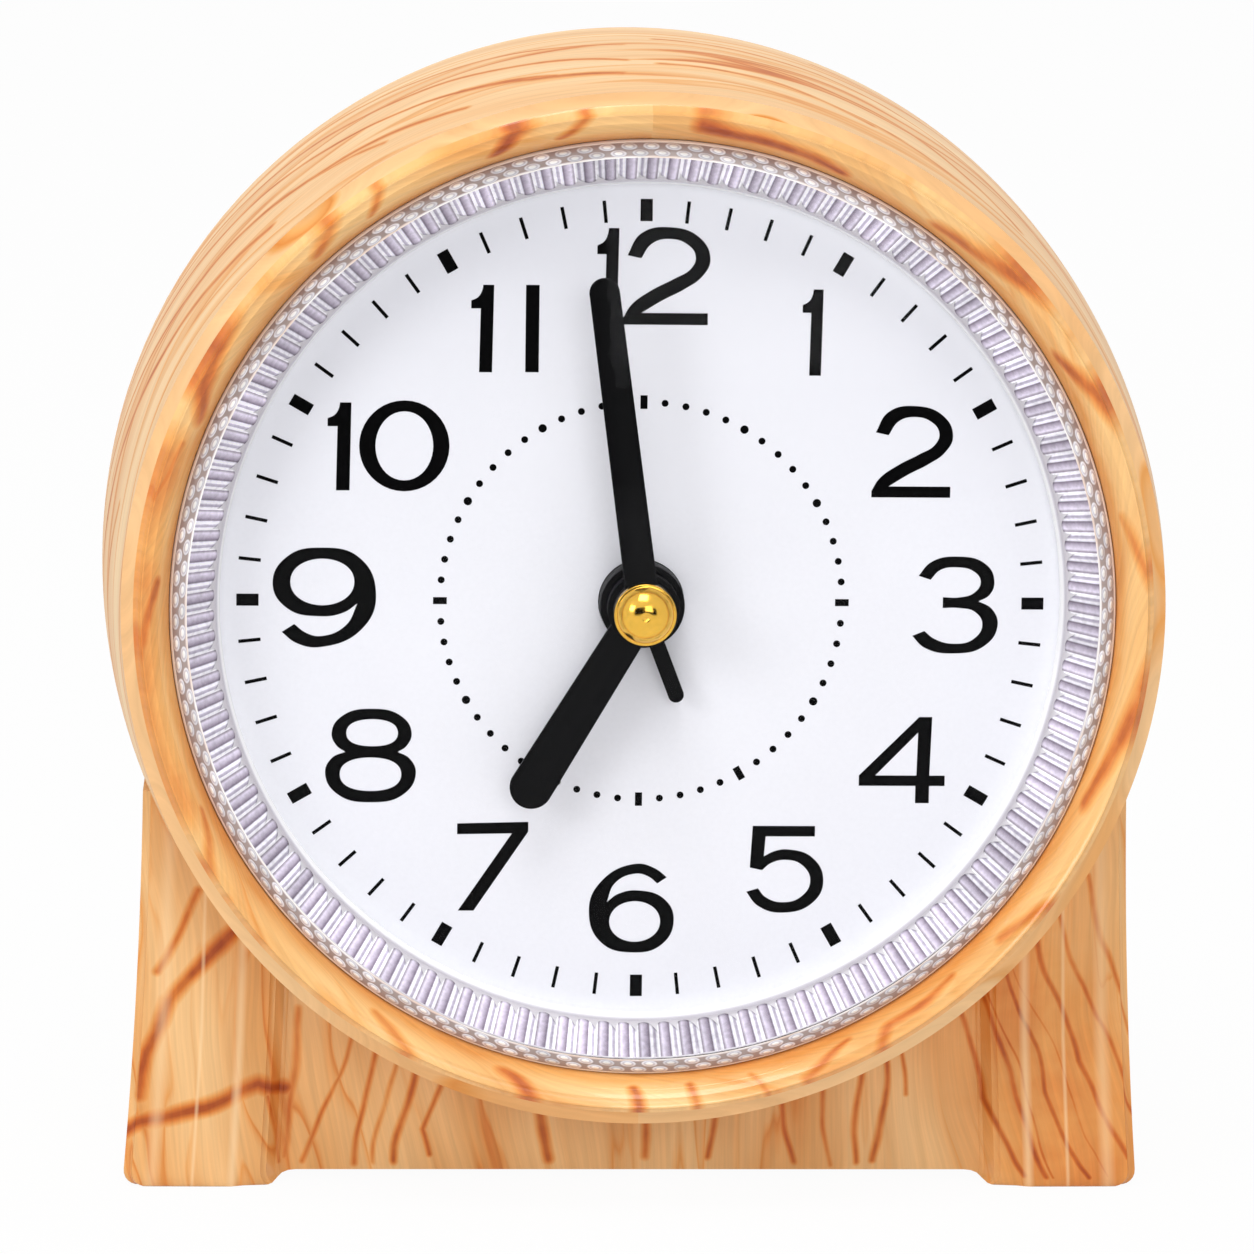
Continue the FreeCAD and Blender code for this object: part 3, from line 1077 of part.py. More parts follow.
os.makedirs("parts", exist_ok=True)
for thing in kept:
    thing.Shape.exportStep(f"parts/{thing.Label}.step")
    print(f"{thing.Label}: {len(thing.Shape.Solids)} solid(s), {thing.Shape.Volume:.1f} mm3")
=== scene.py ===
"""Dresses the bedside alarm clock: film printed case, clear lens, ribbed ring, dial, hands and works."""
import json
import logging
import math
from dataclasses import dataclass
from enum import Enum
from typing import Callable, Iterable, Sequence

import bmesh
import bpy
from mathutils import Matrix, Quaternion, Vector


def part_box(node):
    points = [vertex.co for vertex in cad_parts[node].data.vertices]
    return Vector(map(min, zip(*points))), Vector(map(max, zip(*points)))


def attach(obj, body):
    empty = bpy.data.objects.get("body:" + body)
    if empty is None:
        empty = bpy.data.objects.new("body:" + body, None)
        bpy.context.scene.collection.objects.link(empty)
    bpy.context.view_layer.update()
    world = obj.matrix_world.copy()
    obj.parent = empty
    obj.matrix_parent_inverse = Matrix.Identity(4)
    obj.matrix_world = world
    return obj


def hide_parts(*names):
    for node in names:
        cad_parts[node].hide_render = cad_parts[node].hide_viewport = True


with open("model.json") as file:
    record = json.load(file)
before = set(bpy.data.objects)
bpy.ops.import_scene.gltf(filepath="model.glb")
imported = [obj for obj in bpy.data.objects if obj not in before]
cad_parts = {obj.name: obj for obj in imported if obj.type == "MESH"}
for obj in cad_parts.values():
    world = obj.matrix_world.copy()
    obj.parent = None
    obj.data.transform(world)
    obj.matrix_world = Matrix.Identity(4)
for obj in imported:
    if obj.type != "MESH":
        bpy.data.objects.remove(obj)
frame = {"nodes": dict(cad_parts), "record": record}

LOG = logging.getLogger("clock")
MM = 0.001
# Map of the wood film, in millimetres: the radius at which it counts the way round, the bezel's edge, where
# the barrel's film starts, and how much wider the film lies on the bezel than the bezel is.
FILM_RADIUS = 50.0
NOSE_RADIUS = 48.9
NOSE_DEPTH = -8.2
BEZEL_STRETCH = 1.2
# Outer radius in millimetres of the clear pieces' painted maps.
RIM_RADIUS = 44.4
Point = tuple[float, float]
Source = bpy.types.NodeSocket | bpy.types.Node


# ---------------------------------------------------------------- place and shape helpers

def dial_datum() -> Matrix:
    """Return the change from millimetres about the dial's centre to metres in the CAD frame.

    Returns:
        Matrix whose y grows from the dial's face towards the back, and whose z grows upwards.
    """
    low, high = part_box("dial")
    return Matrix.Translation(((low.x + high.x) / 2, low.y, (low.z + high.z) / 2)) @ Matrix.Scale(MM, 4)


DATUM = dial_datum()
INVERSE = DATUM.inverted()


def bow(start: Point, end: Point, sag: float, steps: int) -> list[Point]:
    """Return points on a circular arc.

    Args:
        start: First point.
        end: Last point.
        sag: Height of the arc over its chord, positive to the right of the way from start to end.
        steps: Number of parts that the arc is divided in.

    Returns:
        Points from start to end, both included.
    """
    a, b = Vector(start), Vector(end)
    chord = (b - a).length
    radius = (chord * chord / 4 + sag * sag) / (2 * abs(sag))
    half = math.asin(min(1.0, chord / 2 / radius))
    along = (b - a) / chord
    side = Vector((along.y, -along.x)) * math.copysign(1, sag)
    middle = (a + b) / 2
    points = []
    for step in range(steps + 1):
        turn = half * (2 * step / steps - 1)
        point = middle + along * radius * math.sin(turn) + side * radius * (math.cos(turn) - math.cos(half))
        points.append((point.x, point.y))
    return points


def rounded(corners: Sequence[tuple[float, ...]], steps: int = 4) -> list[Point]:
    """Return an open outline whose corners are rounded.

    Args:
        corners: Points as (across, along) or (across, along, radius).
        steps: Number of parts in each rounding.

    Returns:
        Points of the outline.
    """
    points: list[Point] = []
    for index, corner in enumerate(corners):
        if len(corner) < 3 or index in (0, len(corners) - 1):
            points.append((corner[0], corner[1]))
            continue
        here = Vector(corner[:2])
        before = (Vector(corners[index - 1][:2]) - here).normalized()
        after = (Vector(corners[index + 1][:2]) - here).normalized()
        opening = before.angle(after)
        reach = corner[2] / math.tan(opening / 2)
        side = before.x * after.y - before.y * after.x
        sag = corner[2] * (1 - math.sin(opening / 2))
        points += bow(tuple(here + before * reach), tuple(here + after * reach), math.copysign(sag, side),
                      steps)
    return points


def spun(profile: Sequence[Point], steps: int, closed: bool = False) -> bmesh.types.BMesh:
    """Spin a profile about the hand axis.

    Args:
        profile: Points as (radius, depth) in millimetres.
        steps: Number of parts in the full turn.
        closed: Whether the last point joins the first one.

    Returns:
        Closed bmesh with its faces outward.
    """
    bm = bmesh.new()
    verts = [bm.verts.new((radius, depth, 0)) for radius, depth in profile]
    edges = [bm.edges.new(pair) for pair in zip(verts, verts[1:])]
    if closed:
        edges.append(bm.edges.new((verts[-1], verts[0])))
    bmesh.ops.spin(bm, geom=verts + edges, cent=(0, 0, 0), axis=(0, 1, 0), angle=math.tau, steps=steps,
                   use_merge=True)
    bmesh.ops.remove_doubles(bm, verts=bm.verts, dist=1e-4)
    bmesh.ops.recalc_face_normals(bm, faces=bm.faces)
    return bm


def lofted(rings: Iterable[Sequence[Vector]]) -> bmesh.types.BMesh:
    """Bridge closed rings of equal count one after the other and close both ends.

    Args:
        rings: Rings of points in millimetres.

    Returns:
        Closed bmesh with its faces outward.
    """
    bm = bmesh.new()
    loops = []
    for ring in rings:
        verts = [bm.verts.new(point) for point in ring]
        loops.append([bm.edges.new((a, b)) for a, b in zip(verts, verts[1:] + verts[:1])])
    for lower, upper in zip(loops, loops[1:]):
        bmesh.ops.bridge_loops(bm, edges=lower + upper)
    for loop in (loops[0], loops[-1]):
        bmesh.ops.contextual_create(bm, geom=loop)
    bmesh.ops.recalc_face_normals(bm, faces=bm.faces)
    return bm


def block(low: Sequence[float], high: Sequence[float]) -> bmesh.types.BMesh:
    """Make a box in millimetres about the dial's centre.

    Args:
        low: Corner with the lowest values.
        high: Corner with the highest values.

    Returns:
        The box.
    """
    bm = bmesh.new()
    bmesh.ops.create_cube(bm, size=1)
    size, centre = Vector(high) - Vector(low), (Vector(high) + Vector(low)) / 2
    bmesh.ops.scale(bm, verts=bm.verts, vec=size)
    bmesh.ops.translate(bm, verts=bm.verts, vec=centre)
    return bm


def linked(name: str, data: bpy.types.ID) -> bpy.types.Object:
    """Return a new object that holds the data, in the scene."""
    made = bpy.data.objects.new(name, data)
    bpy.context.scene.collection.objects.link(made)
    return made


def piece(name: str, bm: bmesh.types.BMesh, materials: Sequence[bpy.types.Material],
          sharp: float = 32.0) -> bpy.types.Object:
    """Turn a bmesh in dial millimetres into an object at the origin.

    Args:
        name: Name of the object.
        bm: Shape, freed afterwards.
        materials: Materials in the order of their slots.
        sharp: Angle in degrees above which an edge stays sharp.

    Returns:
        The new object.
    """
    bm.transform(DATUM)
    mesh = bpy.data.meshes.new(name)
    bm.to_mesh(mesh)
    bm.free()
    for material in materials:
        mesh.materials.append(material)
    mesh.shade_smooth()
    mesh.set_sharp_from_angle(angle=math.radians(sharp))
    return linked(name, mesh)


class Join(Enum):
    """How a second solid changes the first one."""

    ADD = "UNION"
    CUT = "DIFFERENCE"


def combine(body: bpy.types.Object, other: bpy.types.Object, how: Join) -> None:
    """Add a solid to a body or cut it from the body, and remove the solid.

    Args:
        body: Object that keeps the result.
        other: Solid that is added or cut.
        how: Whether it is added or cut.
    """
    modifier = body.modifiers.new("join", "BOOLEAN")
    modifier.operation = how.value
    modifier.solver = "EXACT"
    modifier.object = other
    bpy.context.view_layer.update()
    graph = bpy.context.evaluated_depsgraph_get()
    mesh = bpy.data.meshes.new_from_object(body.evaluated_get(graph))
    body.modifiers.clear()
    old, body.data = body.data, mesh
    mesh.name = body.name
    bpy.data.meshes.remove(old)
    cut_mesh = other.data
    bpy.data.objects.remove(other)
    bpy.data.meshes.remove(cut_mesh)


def softened(node: str, name: str, width: float, segments: int = 2,
             angle: float = 30.0) -> bpy.types.Object:
    """Copy a CAD node's shape with its edges rounded.

    Args:
        node: CAD node that the piece stands for.
        name: Name of the new piece.
        width: Width of the rounding in millimetres.
        segments: Parts of the rounding.
        angle: Angle in degrees from which an edge is rounded.

    Returns:
        The new piece, in place of the node.
    """
    source = frame["nodes"][node]
    bm = bmesh.new()
    bm.from_mesh(source.data)
    bmesh.ops.remove_doubles(bm, verts=bm.verts, dist=2e-6)
    bmesh.ops.dissolve_limit(bm, angle_limit=math.radians(1.0), verts=bm.verts, edges=bm.edges)
    mesh = bpy.data.meshes.new(name)
    bm.to_mesh(mesh)
    bm.free()
    made = linked(name, mesh)
    bevel = made.modifiers.new("edges", "BEVEL")
    bevel.width = width * MM
    bevel.segments = segments
    bevel.limit_method = "ANGLE"
    bevel.angle_limit = math.radians(angle)
    bevel.harden_normals = False
    bpy.context.view_layer.update()
    solid = bpy.data.meshes.new_from_object(made.evaluated_get(bpy.context.evaluated_depsgraph_get()))
    made.modifiers.clear()
    made.data = solid
    solid.name = name
    bpy.data.meshes.remove(mesh)
    solid.materials.clear()
    solid.shade_smooth()
    solid.set_sharp_from_angle(angle=math.radians(40))
    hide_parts(node)
    return made


# ---------------------------------------------------------------- material helpers

def linear(code: str, alpha: float = 1.0) -> tuple[float, float, float, float]:
    """Turn an sRGB hex colour into a linear one.

    Args:
        code: Colour as rrggbb.
        alpha: Fourth value.

    Returns:
        Red, green, blue and alpha.
    """
    values = [int(code[at:at + 2], 16) / 255 for at in (0, 2, 4)]
    red, green, blue = (v / 12.92 if v <= 0.04045 else ((v + 0.055) / 1.055) ** 2.4 for v in values)
    return red, green, blue, alpha


def add(tree: bpy.types.NodeTree, kind: str, inputs: dict | tuple = (),
        stops: Sequence[tuple[float, str]] | None = None, **settings: object) -> bpy.types.Node:
    """Add a node with its settings, its values and its links.

    Args:
        tree: Node tree that gets the node.
        kind: Blender's name of the node, without its prefix.
        inputs: Values, output sockets or nodes, whose first output counts, by input name or number, or in a
            row from the first input.
        stops: Places and hex colours of a colour ramp.
        **settings: Properties of the node.

    Returns:
        The new node.
    """
    node = tree.nodes.new("ShaderNode" + kind)
    for key, value in settings.items():
        setattr(node, key, value)
    if stops:
        elements = node.color_ramp.elements
        elements[0].position, elements[0].color = stops[0][0], linear(stops[0][1])
        elements[1].position, elements[1].color = stops[1][0], linear(stops[1][1])
        for place, colour in stops[2:]:
            elements.new(place).color = linear(colour)
    for key, value in inputs.items() if isinstance(inputs, dict) else enumerate(inputs):
        socket = node.inputs[key]
        if isinstance(value, Source):
            tree.links.new(value.outputs[0] if isinstance(value, bpy.types.Node) else value, socket)
        else:
            socket.default_value = value
    return node


def new_tree(name: str) -> tuple[bpy.types.Material, bpy.types.NodeTree]:
    """Make a material.

    Args:
        name: Name of the material.

    Returns:
        The material and its empty node tree.
    """
    material = bpy.data.materials.new(name)
    material.use_nodes = True
    material.node_tree.nodes.clear()
    return material, material.node_tree


def finish_tree(tree: bpy.types.NodeTree, shader: Source) -> None:
    """Link a shader to the material's output."""
    add(tree, "OutputMaterial", {"Surface": shader})


# ---------------------------------------------------------------- finishes

class Finish:
    """One finish; each kind lays out the nodes that give its surface the look."""

    name: str

    def surface(self, tree: bpy.types.NodeTree) -> Source:
        """Return the shader, built on the material's empty tree."""
        raise NotImplementedError

    def make(self) -> bpy.types.Material:
        """Return the finish as a material."""
        material, tree = new_tree(self.name)
        finish_tree(tree, self.surface(tree))
        return material


@dataclass(frozen=True)
class MouldedPlastic(Finish):
    """Injection moulded ABS: even colour, fine spark-eroded grain, soft sheen.

    The tool's grain breaks the highlight up a little, and the melt leaves faint clouds in the colour.
    """

    name: str
    colour: str
    roughness: float = 0.38
    grain_mm: float = 0.35
    relief_mm: float = 0.012
    cloud: float = 0.06
    shine: float = 0.5

    def surface(self, tree: bpy.types.NodeTree) -> Source:
        """Return the shader."""
        place = add(tree, "TexCoord").outputs["Object"]
        grain = add(tree, "TexNoise", {"Vector": place, "Scale": 1 / (self.grain_mm * MM), "Detail": 2.0})
        cloud = add(tree, "TexNoise", {"Vector": place, "Scale": 1 / (9 * MM), "Detail": 2.0})
        shade = add(tree, "MapRange", (cloud, 0.3, 0.7, 1 - self.cloud, 1 + self.cloud / 3))
        colour = add(tree, "VectorMath", {0: linear(self.colour)[:3], "Scale": shade}, operation="SCALE")
        rough = add(tree, "MapRange", (grain, 0.3, 0.7, self.roughness - 0.05, self.roughness + 0.06))
        bump = add(tree, "Bump", {"Height": grain, "Strength": 0.35, "Distance": self.relief_mm * MM})
        return add(tree, "BsdfPrincipled", {"Base Color": colour, "Roughness": rough, "IOR": 1.53,
                                            "Specular IOR Level": self.shine, "Normal": bump})


@dataclass(frozen=True)
class Metal(Finish):
    """Stamped, turned or plated metal: fine drawn streaks along one axis, with small stains."""

    name: str
    colour: str
    roughness: float = 0.28
    streak_mm: tuple[float, float, float] = (6.0, 0.25, 0.25)
    relief_mm: float = 0.003

    def surface(self, tree: bpy.types.NodeTree) -> Source:
        """Return the shader."""
        place = add(tree, "TexCoord").outputs["Object"]
        drawn = add(tree, "Mapping",
                    {"Vector": place, "Scale": tuple((1 / (size * MM) for size in self.streak_mm))})
        streak = add(tree, "TexNoise", {"Vector": drawn, "Scale": 1.0, "Detail": 3.0})
        stain = add(tree, "TexNoise", {"Vector": place, "Scale": 1 / (5 * MM), "Detail": 2.0})
        both = add(tree, "Math", (streak, stain), operation="MULTIPLY")
        shade = add(tree, "MapRange", (both, 0.12, 0.4, 0.86, 1.04))
        colour = add(tree, "VectorMath", {0: linear(self.colour)[:3], "Scale": shade}, operation="SCALE")
        rough = add(tree, "MapRange", (streak, 0.3, 0.7, self.roughness - 0.06, self.roughness + 0.08))
        bump = add(tree, "Bump", {"Height": streak, "Strength": 0.4, "Distance": self.relief_mm * MM})
        return add(tree, "BsdfPrincipled", {"Base Color": colour, "Metallic": 1.0, "Roughness": rough,
                                            "Normal": bump})


@dataclass(frozen=True)
class Stroke:
    """One bold vein of the print, from point to point on the film's map in millimetres."""

    width: float
    strength: float
    points: tuple[Point, ...]


def vein_group() -> bpy.types.NodeTree:
    """Return the node group that draws one soft vein between two points.

    Returns:
        Group with the inputs Place, From, To and Width, and the output Ink from 0 to 1.
    """
    group = bpy.data.node_groups.new("vein", "ShaderNodeTree")
    for name, kind in (("Place", "NodeSocketVector"), ("From", "NodeSocketVector"),
                       ("To", "NodeSocketVector"), ("Width", "NodeSocketFloat")):
        group.interface.new_socket(name, in_out="INPUT", socket_type=kind)
    group.interface.new_socket("Ink", in_out="OUTPUT", socket_type="NodeSocketFloat")
    given = group.nodes.new("NodeGroupInput").outputs
    reach = add(group, "VectorMath", (given["Place"], given["From"]), operation="SUBTRACT")
    run = add(group, "VectorMath", (given["To"], given["From"]), operation="SUBTRACT")
    onto = add(group, "VectorMath", (reach, run), operation="DOT_PRODUCT").outputs["Value"]
    square = add(group, "VectorMath", (run, run), operation="DOT_PRODUCT").outputs["Value"]
    share = add(group, "Math", (onto, square), operation="DIVIDE", use_clamp=True)
    foot = add(group, "VectorMath", {0: run, "Scale": share}, operation="SCALE")
    away = add(group, "VectorMath", (reach, foot), operation="DISTANCE").outputs["Value"]
    ink = add(group, "MapRange", (away, 0.0, given["Width"], 1.15, 0.0))
    ink = add(group, "Math", (ink, 1.0), operation="MINIMUM")
    left = group.nodes.new("NodeGroupOutput")
    group.links.new(ink.outputs[0], left.inputs["Ink"])
    return group


@dataclass(frozen=True)
class WoodFilm(Finish):
    """Wood print film on ABS: honey ground, orange-brown veins, gloss lacquer over it.

    The fine veins are the level lines of one slow pattern, so they run side by side, part and close again,
    as the print of olive wood does; the bold ones are strokes. Sizes are in millimetres on the film's map.
    """

    name: str
    turn: float = 0.0
    vein_along: float = 46.0
    vein_across: float = 7.5
    levels: float = 7.0
    strength: float = 0.85
    pale: str = "f0bf84"
    deep: str = "dfa265"
    strokes: tuple[Stroke, ...] = ()
    # Strokes of painted highlight: along them the film is mixed towards pale cream, standing for an edge's
    # glint.
    edges: tuple[Stroke, ...] = ()
    coat: float = 0.35
    wander: float = 3.0

    def bold(self, tree: bpy.types.NodeTree, film: Source,
             strokes: tuple[Stroke, ...], shaken: float) -> Source:
        """Draw strokes on the film.

        Args:
            tree: Material's node tree.
            film: Place on the film.
            strokes: Strokes to draw.
            shaken: Reach in millimetres that their line wanders.

        Returns:
            Ink of the strokes from 0 to 1.
        """
        group = bpy.data.node_groups.get("vein") or vein_group()
        shake = add(tree, "TexNoise", {"Vector": film, "Scale": 1 / 10, "Detail": 1.5, "Roughness": 0.4})
        shift = add(tree, "VectorMath", (shake.outputs["Color"], (0.5, 0.5, 0.5)), operation="SUBTRACT")
        place = add(tree, "VectorMath", (shift, (shaken, shaken, 0), film), operation="MULTIPLY_ADD")
        total = None
        for stroke in strokes:
            for start, end in zip(stroke.points, stroke.points[1:]):
                ink = add(tree, "Group", {"Place": place, "From": (*start, 0), "To": (*end, 0),
                                          "Width": stroke.width}, node_tree=group)
                drawn = add(tree, "Math", (ink, stroke.strength), operation="MULTIPLY")
                total = drawn if total is None else add(tree, "Math", (total, drawn), operation="MAXIMUM")
        return total

    def surface(self, tree: bpy.types.NodeTree) -> Source:
        """Return the shader."""
        film = add(tree, "UVMap", uv_map="film")
        turned = add(tree, "Mapping", {"Vector": film, "Rotation": (0, 0, math.radians(self.turn))})
        sway = add(tree, "TexNoise", {"Vector": turned, "Scale": 1 / 26, "Detail": 1.0})
        shift = add(tree, "VectorMath", (sway.outputs["Color"], (0.5, 0.5, 0.5)), operation="SUBTRACT")
        swayed = add(tree, "VectorMath", (shift, (8, 9, 0), turned), operation="MULTIPLY_ADD")
        stretched = add(tree, "Mapping", {"Vector": swayed, "Scale": (1 / self.vein_along,
                                                                      1 / self.vein_across, 1)})
        slow = add(tree, "TexNoise", {"Vector": stretched, "Scale": 1.0, "Detail": 2.5, "Roughness": 0.42})
        level = add(tree, "Math", (slow, self.levels), operation="MULTIPLY")
        phase = add(tree, "Math", (level,), operation="FRACT")
        line = add(tree, "ValToRGB", {"Fac": phase}, stops=[(0.0, "606060"), (1.0, "505050"),
                                                            (0.07, "ffffff"), (0.16, "b0b0b0"),
                                                            (0.36, "000000"), (0.88, "000000")])
        patch = add(tree, "TexNoise", {"Vector": stretched, "Scale": 0.55, "Detail": 1.0})
        present = add(tree, "MapRange", (patch, 0.36, 0.6, 0.25, 1.0))
        vein = add(tree, "Math", (line, present), operation="MULTIPLY")
        vein = add(tree, "Math", (vein, self.strength), operation="MULTIPLY")
        fine = add(tree, "Mapping", {"Vector": swayed, "Scale": (1 / 16, 1 / 0.5, 1)})
        fibre = add(tree, "TexNoise", {"Vector": fine, "Scale": 1.0, "Detail": 3.0, "Roughness": 0.6})
        if self.strokes:
            spread = add(tree, "TexNoise", {"Vector": film, "Scale": 1 / 4.5, "Detail": 3.0,
                                            "Roughness": 0.55})
            broken = add(tree, "MapRange", (spread, 0.3, 0.65, 0.75, 1.15))
            bold = add(tree, "Math", (self.bold(tree, film, self.strokes, self.wander), broken),
                       operation="MULTIPLY")
            vein = add(tree, "Math", (vein, bold), operation="MAXIMUM", use_clamp=True)
        cloud = add(tree, "TexNoise", {"Vector": stretched, "Scale": 0.8, "Detail": 2.0})
        ground = add(tree, "ValToRGB", {"Fac": cloud}, stops=[(0.34, self.deep), (0.68, self.pale)])
        tint = add(tree, "MapRange", (fibre, 0.3, 0.72, 1.05, 0.87))
        inked = add(tree, "ValToRGB", {"Fac": vein}, stops=[(0.0, "ffffff"), (1.0, "b56522"), (0.3, "f8dcb4"),
                                                            (0.65, "e2a058")])
        printed = add(tree, "Mix", {0: 1.0, 6: ground, 7: inked}, data_type="RGBA", blend_type="MULTIPLY")
        colour = add(tree, "VectorMath", {0: printed.outputs[2], "Scale": tint}, operation="SCALE")
        # Painted highlight: along the glint strokes the colour is mixed towards pale cream ffe0b0.
        if self.edges:
            pale = self.bold(tree, film, self.edges, 0.0)
            colour = add(tree, "Mix", {0: pale, 6: colour, 7: linear("ffe0b0")}, data_type="RGBA")
        colour = colour.outputs[2 if self.edges else 0]
        ripple = add(tree, "TexNoise", {"Vector": film, "Scale": 1 / 6, "Detail": 1.0})
        bump = add(tree, "Bump", {"Height": ripple, "Strength": 0.25, "Distance": 0.05 * MM})
        return add(tree, "BsdfPrincipled", {"Base Color": colour, "Roughness": 0.45, "IOR": 1.45,
                                            "Specular IOR Level": self.coat * 0.8, "Coat Weight": self.coat,
                                            "Coat Roughness": 0.1, "Coat Normal": bump})


@dataclass(frozen=True)
class ClearCover(Finish):
    """Moulded clear styrene: seen through almost unchanged, with a faint reflection at flat angles."""

    name: str
    gloss: float = 0.07

    def surface(self, tree: bpy.types.NodeTree) -> Source:
        """Return the shader."""
        fresnel = add(tree, "Fresnel", {"IOR": 1.45})
        amount = add(tree, "Math", (fresnel, self.gloss), operation="MULTIPLY")
        through = add(tree, "BsdfTransparent", {"Color": (1, 1, 1, 1)})
        shine = add(tree, "BsdfGlossy", {"Color": (1, 1, 1, 1), "Roughness": 0.03})
        return add(tree, "MixShader", (amount, through, shine))


@dataclass(frozen=True)
class PrismRing(Finish):
    """Clear styrene with moulded prisms, painted as the light that they turn back to the eye.

    The map's first value counts the prisms and the second one is the distance from the hand axis in
    millimetres. Each prism is two bright edges with a soft grey slope between them.
    """

    name: str
    inner: float = 40.4
    outer: float = 43.05
    across: tuple[tuple[float, str], ...] = ((0.0, "faf8ff"), (1.0, "faf8ff"), (0.05, "faf8ff"),
                                             (0.11, "a9a2b6"), (0.2, "bdb6c8"), (0.26, "faf8ff"),
                                             (0.35, "f6f3ff"), (0.41, "74697a"), (0.53, "a89db0"),
                                             (0.78, "e2daec"), (0.9, "8f8594"), (0.95, "faf8ff"))
    along: tuple[tuple[float, str], ...] = ((0.0, "ffffff"), (1.0, "f3f1f6"), (0.035, "ffffff"),
                                            (0.06, "d5d1d9"), (0.075, "c4bfc8"), (0.47, "ffffff"),
                                            (0.51, "ffffff"), (0.54, "f3d9c4"), (0.58, "e6e2e9"),
                                            (0.8, "efecf3"))

    def surface(self, tree: bpy.types.NodeTree) -> Source:
        """Return the shader."""
        split = add(tree, "SeparateXYZ", (add(tree, "UVMap", uv_map="prism"),))
        count, radius = split.outputs[0], split.outputs[1]
        phase = add(tree, "Math", (count,), operation="FRACT")
        whole = add(tree, "Math", (count,), operation="FLOOR")
        chance = add(tree, "TexWhiteNoise", {"W": whole}, noise_dimensions="1D")
        area = add(tree, "TexNoise", {"W": count, "Scale": 1 / 9, "Detail": 1.0}, noise_dimensions="1D")
        across = add(tree, "ValToRGB", {"Fac": phase}, stops=list(self.across))
        blur = add(tree, "TexNoise", {"Vector": add(tree, "TexCoord").outputs["Object"],
                                      "Scale": 1 / (0.5 * MM), "Detail": 2.0})
        shade = add(tree, "MapRange", {"Value": chance, "To Min": 0.88, "To Max": 1.22})
        light = add(tree, "MapRange", (area, 0.3, 0.7, 0.95, 1.35))
        speckle = add(tree, "MapRange", (blur, 0.3, 0.7, 0.85, 1.12))
        level = add(tree, "Math", (shade, light), operation="MULTIPLY")
        level = add(tree, "Math", (level, speckle), operation="MULTIPLY")
        ribs = add(tree, "VectorMath", {0: across, "Scale": level}, operation="SCALE")
        out = add(tree, "MapRange", (radius, 39.9, RIM_RADIUS))
        along = add(tree, "ValToRGB", {"Fac": out}, stops=list(self.along))
        hump = add(tree, "Math", (phase, 0.66), operation="SUBTRACT")
        hump = add(tree, "Math", (hump, hump), operation="MULTIPLY")
        edge = add(tree, "Math", (hump, 1.6, self.inner), operation="MULTIPLY_ADD")
        past = add(tree, "Math", (radius, edge), operation="SUBTRACT")
        dark = add(tree, "MapRange", (past, 0.0, 0.22, 0.5, 1.0))
        ribs = add(tree, "VectorMath", {0: ribs, "Scale": dark}, operation="SCALE")
        inside = add(tree, "Math", (past, 0.0), operation="GREATER_THAN")
        within = add(tree, "Math", (radius, self.outer), operation="LESS_THAN")
        band = add(tree, "Math", (inside, within), operation="MULTIPLY")
        colour = add(tree, "Mix", {0: band, 6: along, 7: ribs}, data_type="RGBA")
        return add(tree, "BsdfPrincipled", {"Base Color": colour.outputs[2], "Roughness": 0.25, "IOR": 1.49,
                                            "Coat Weight": 0.3, "Coat Roughness": 0.05})


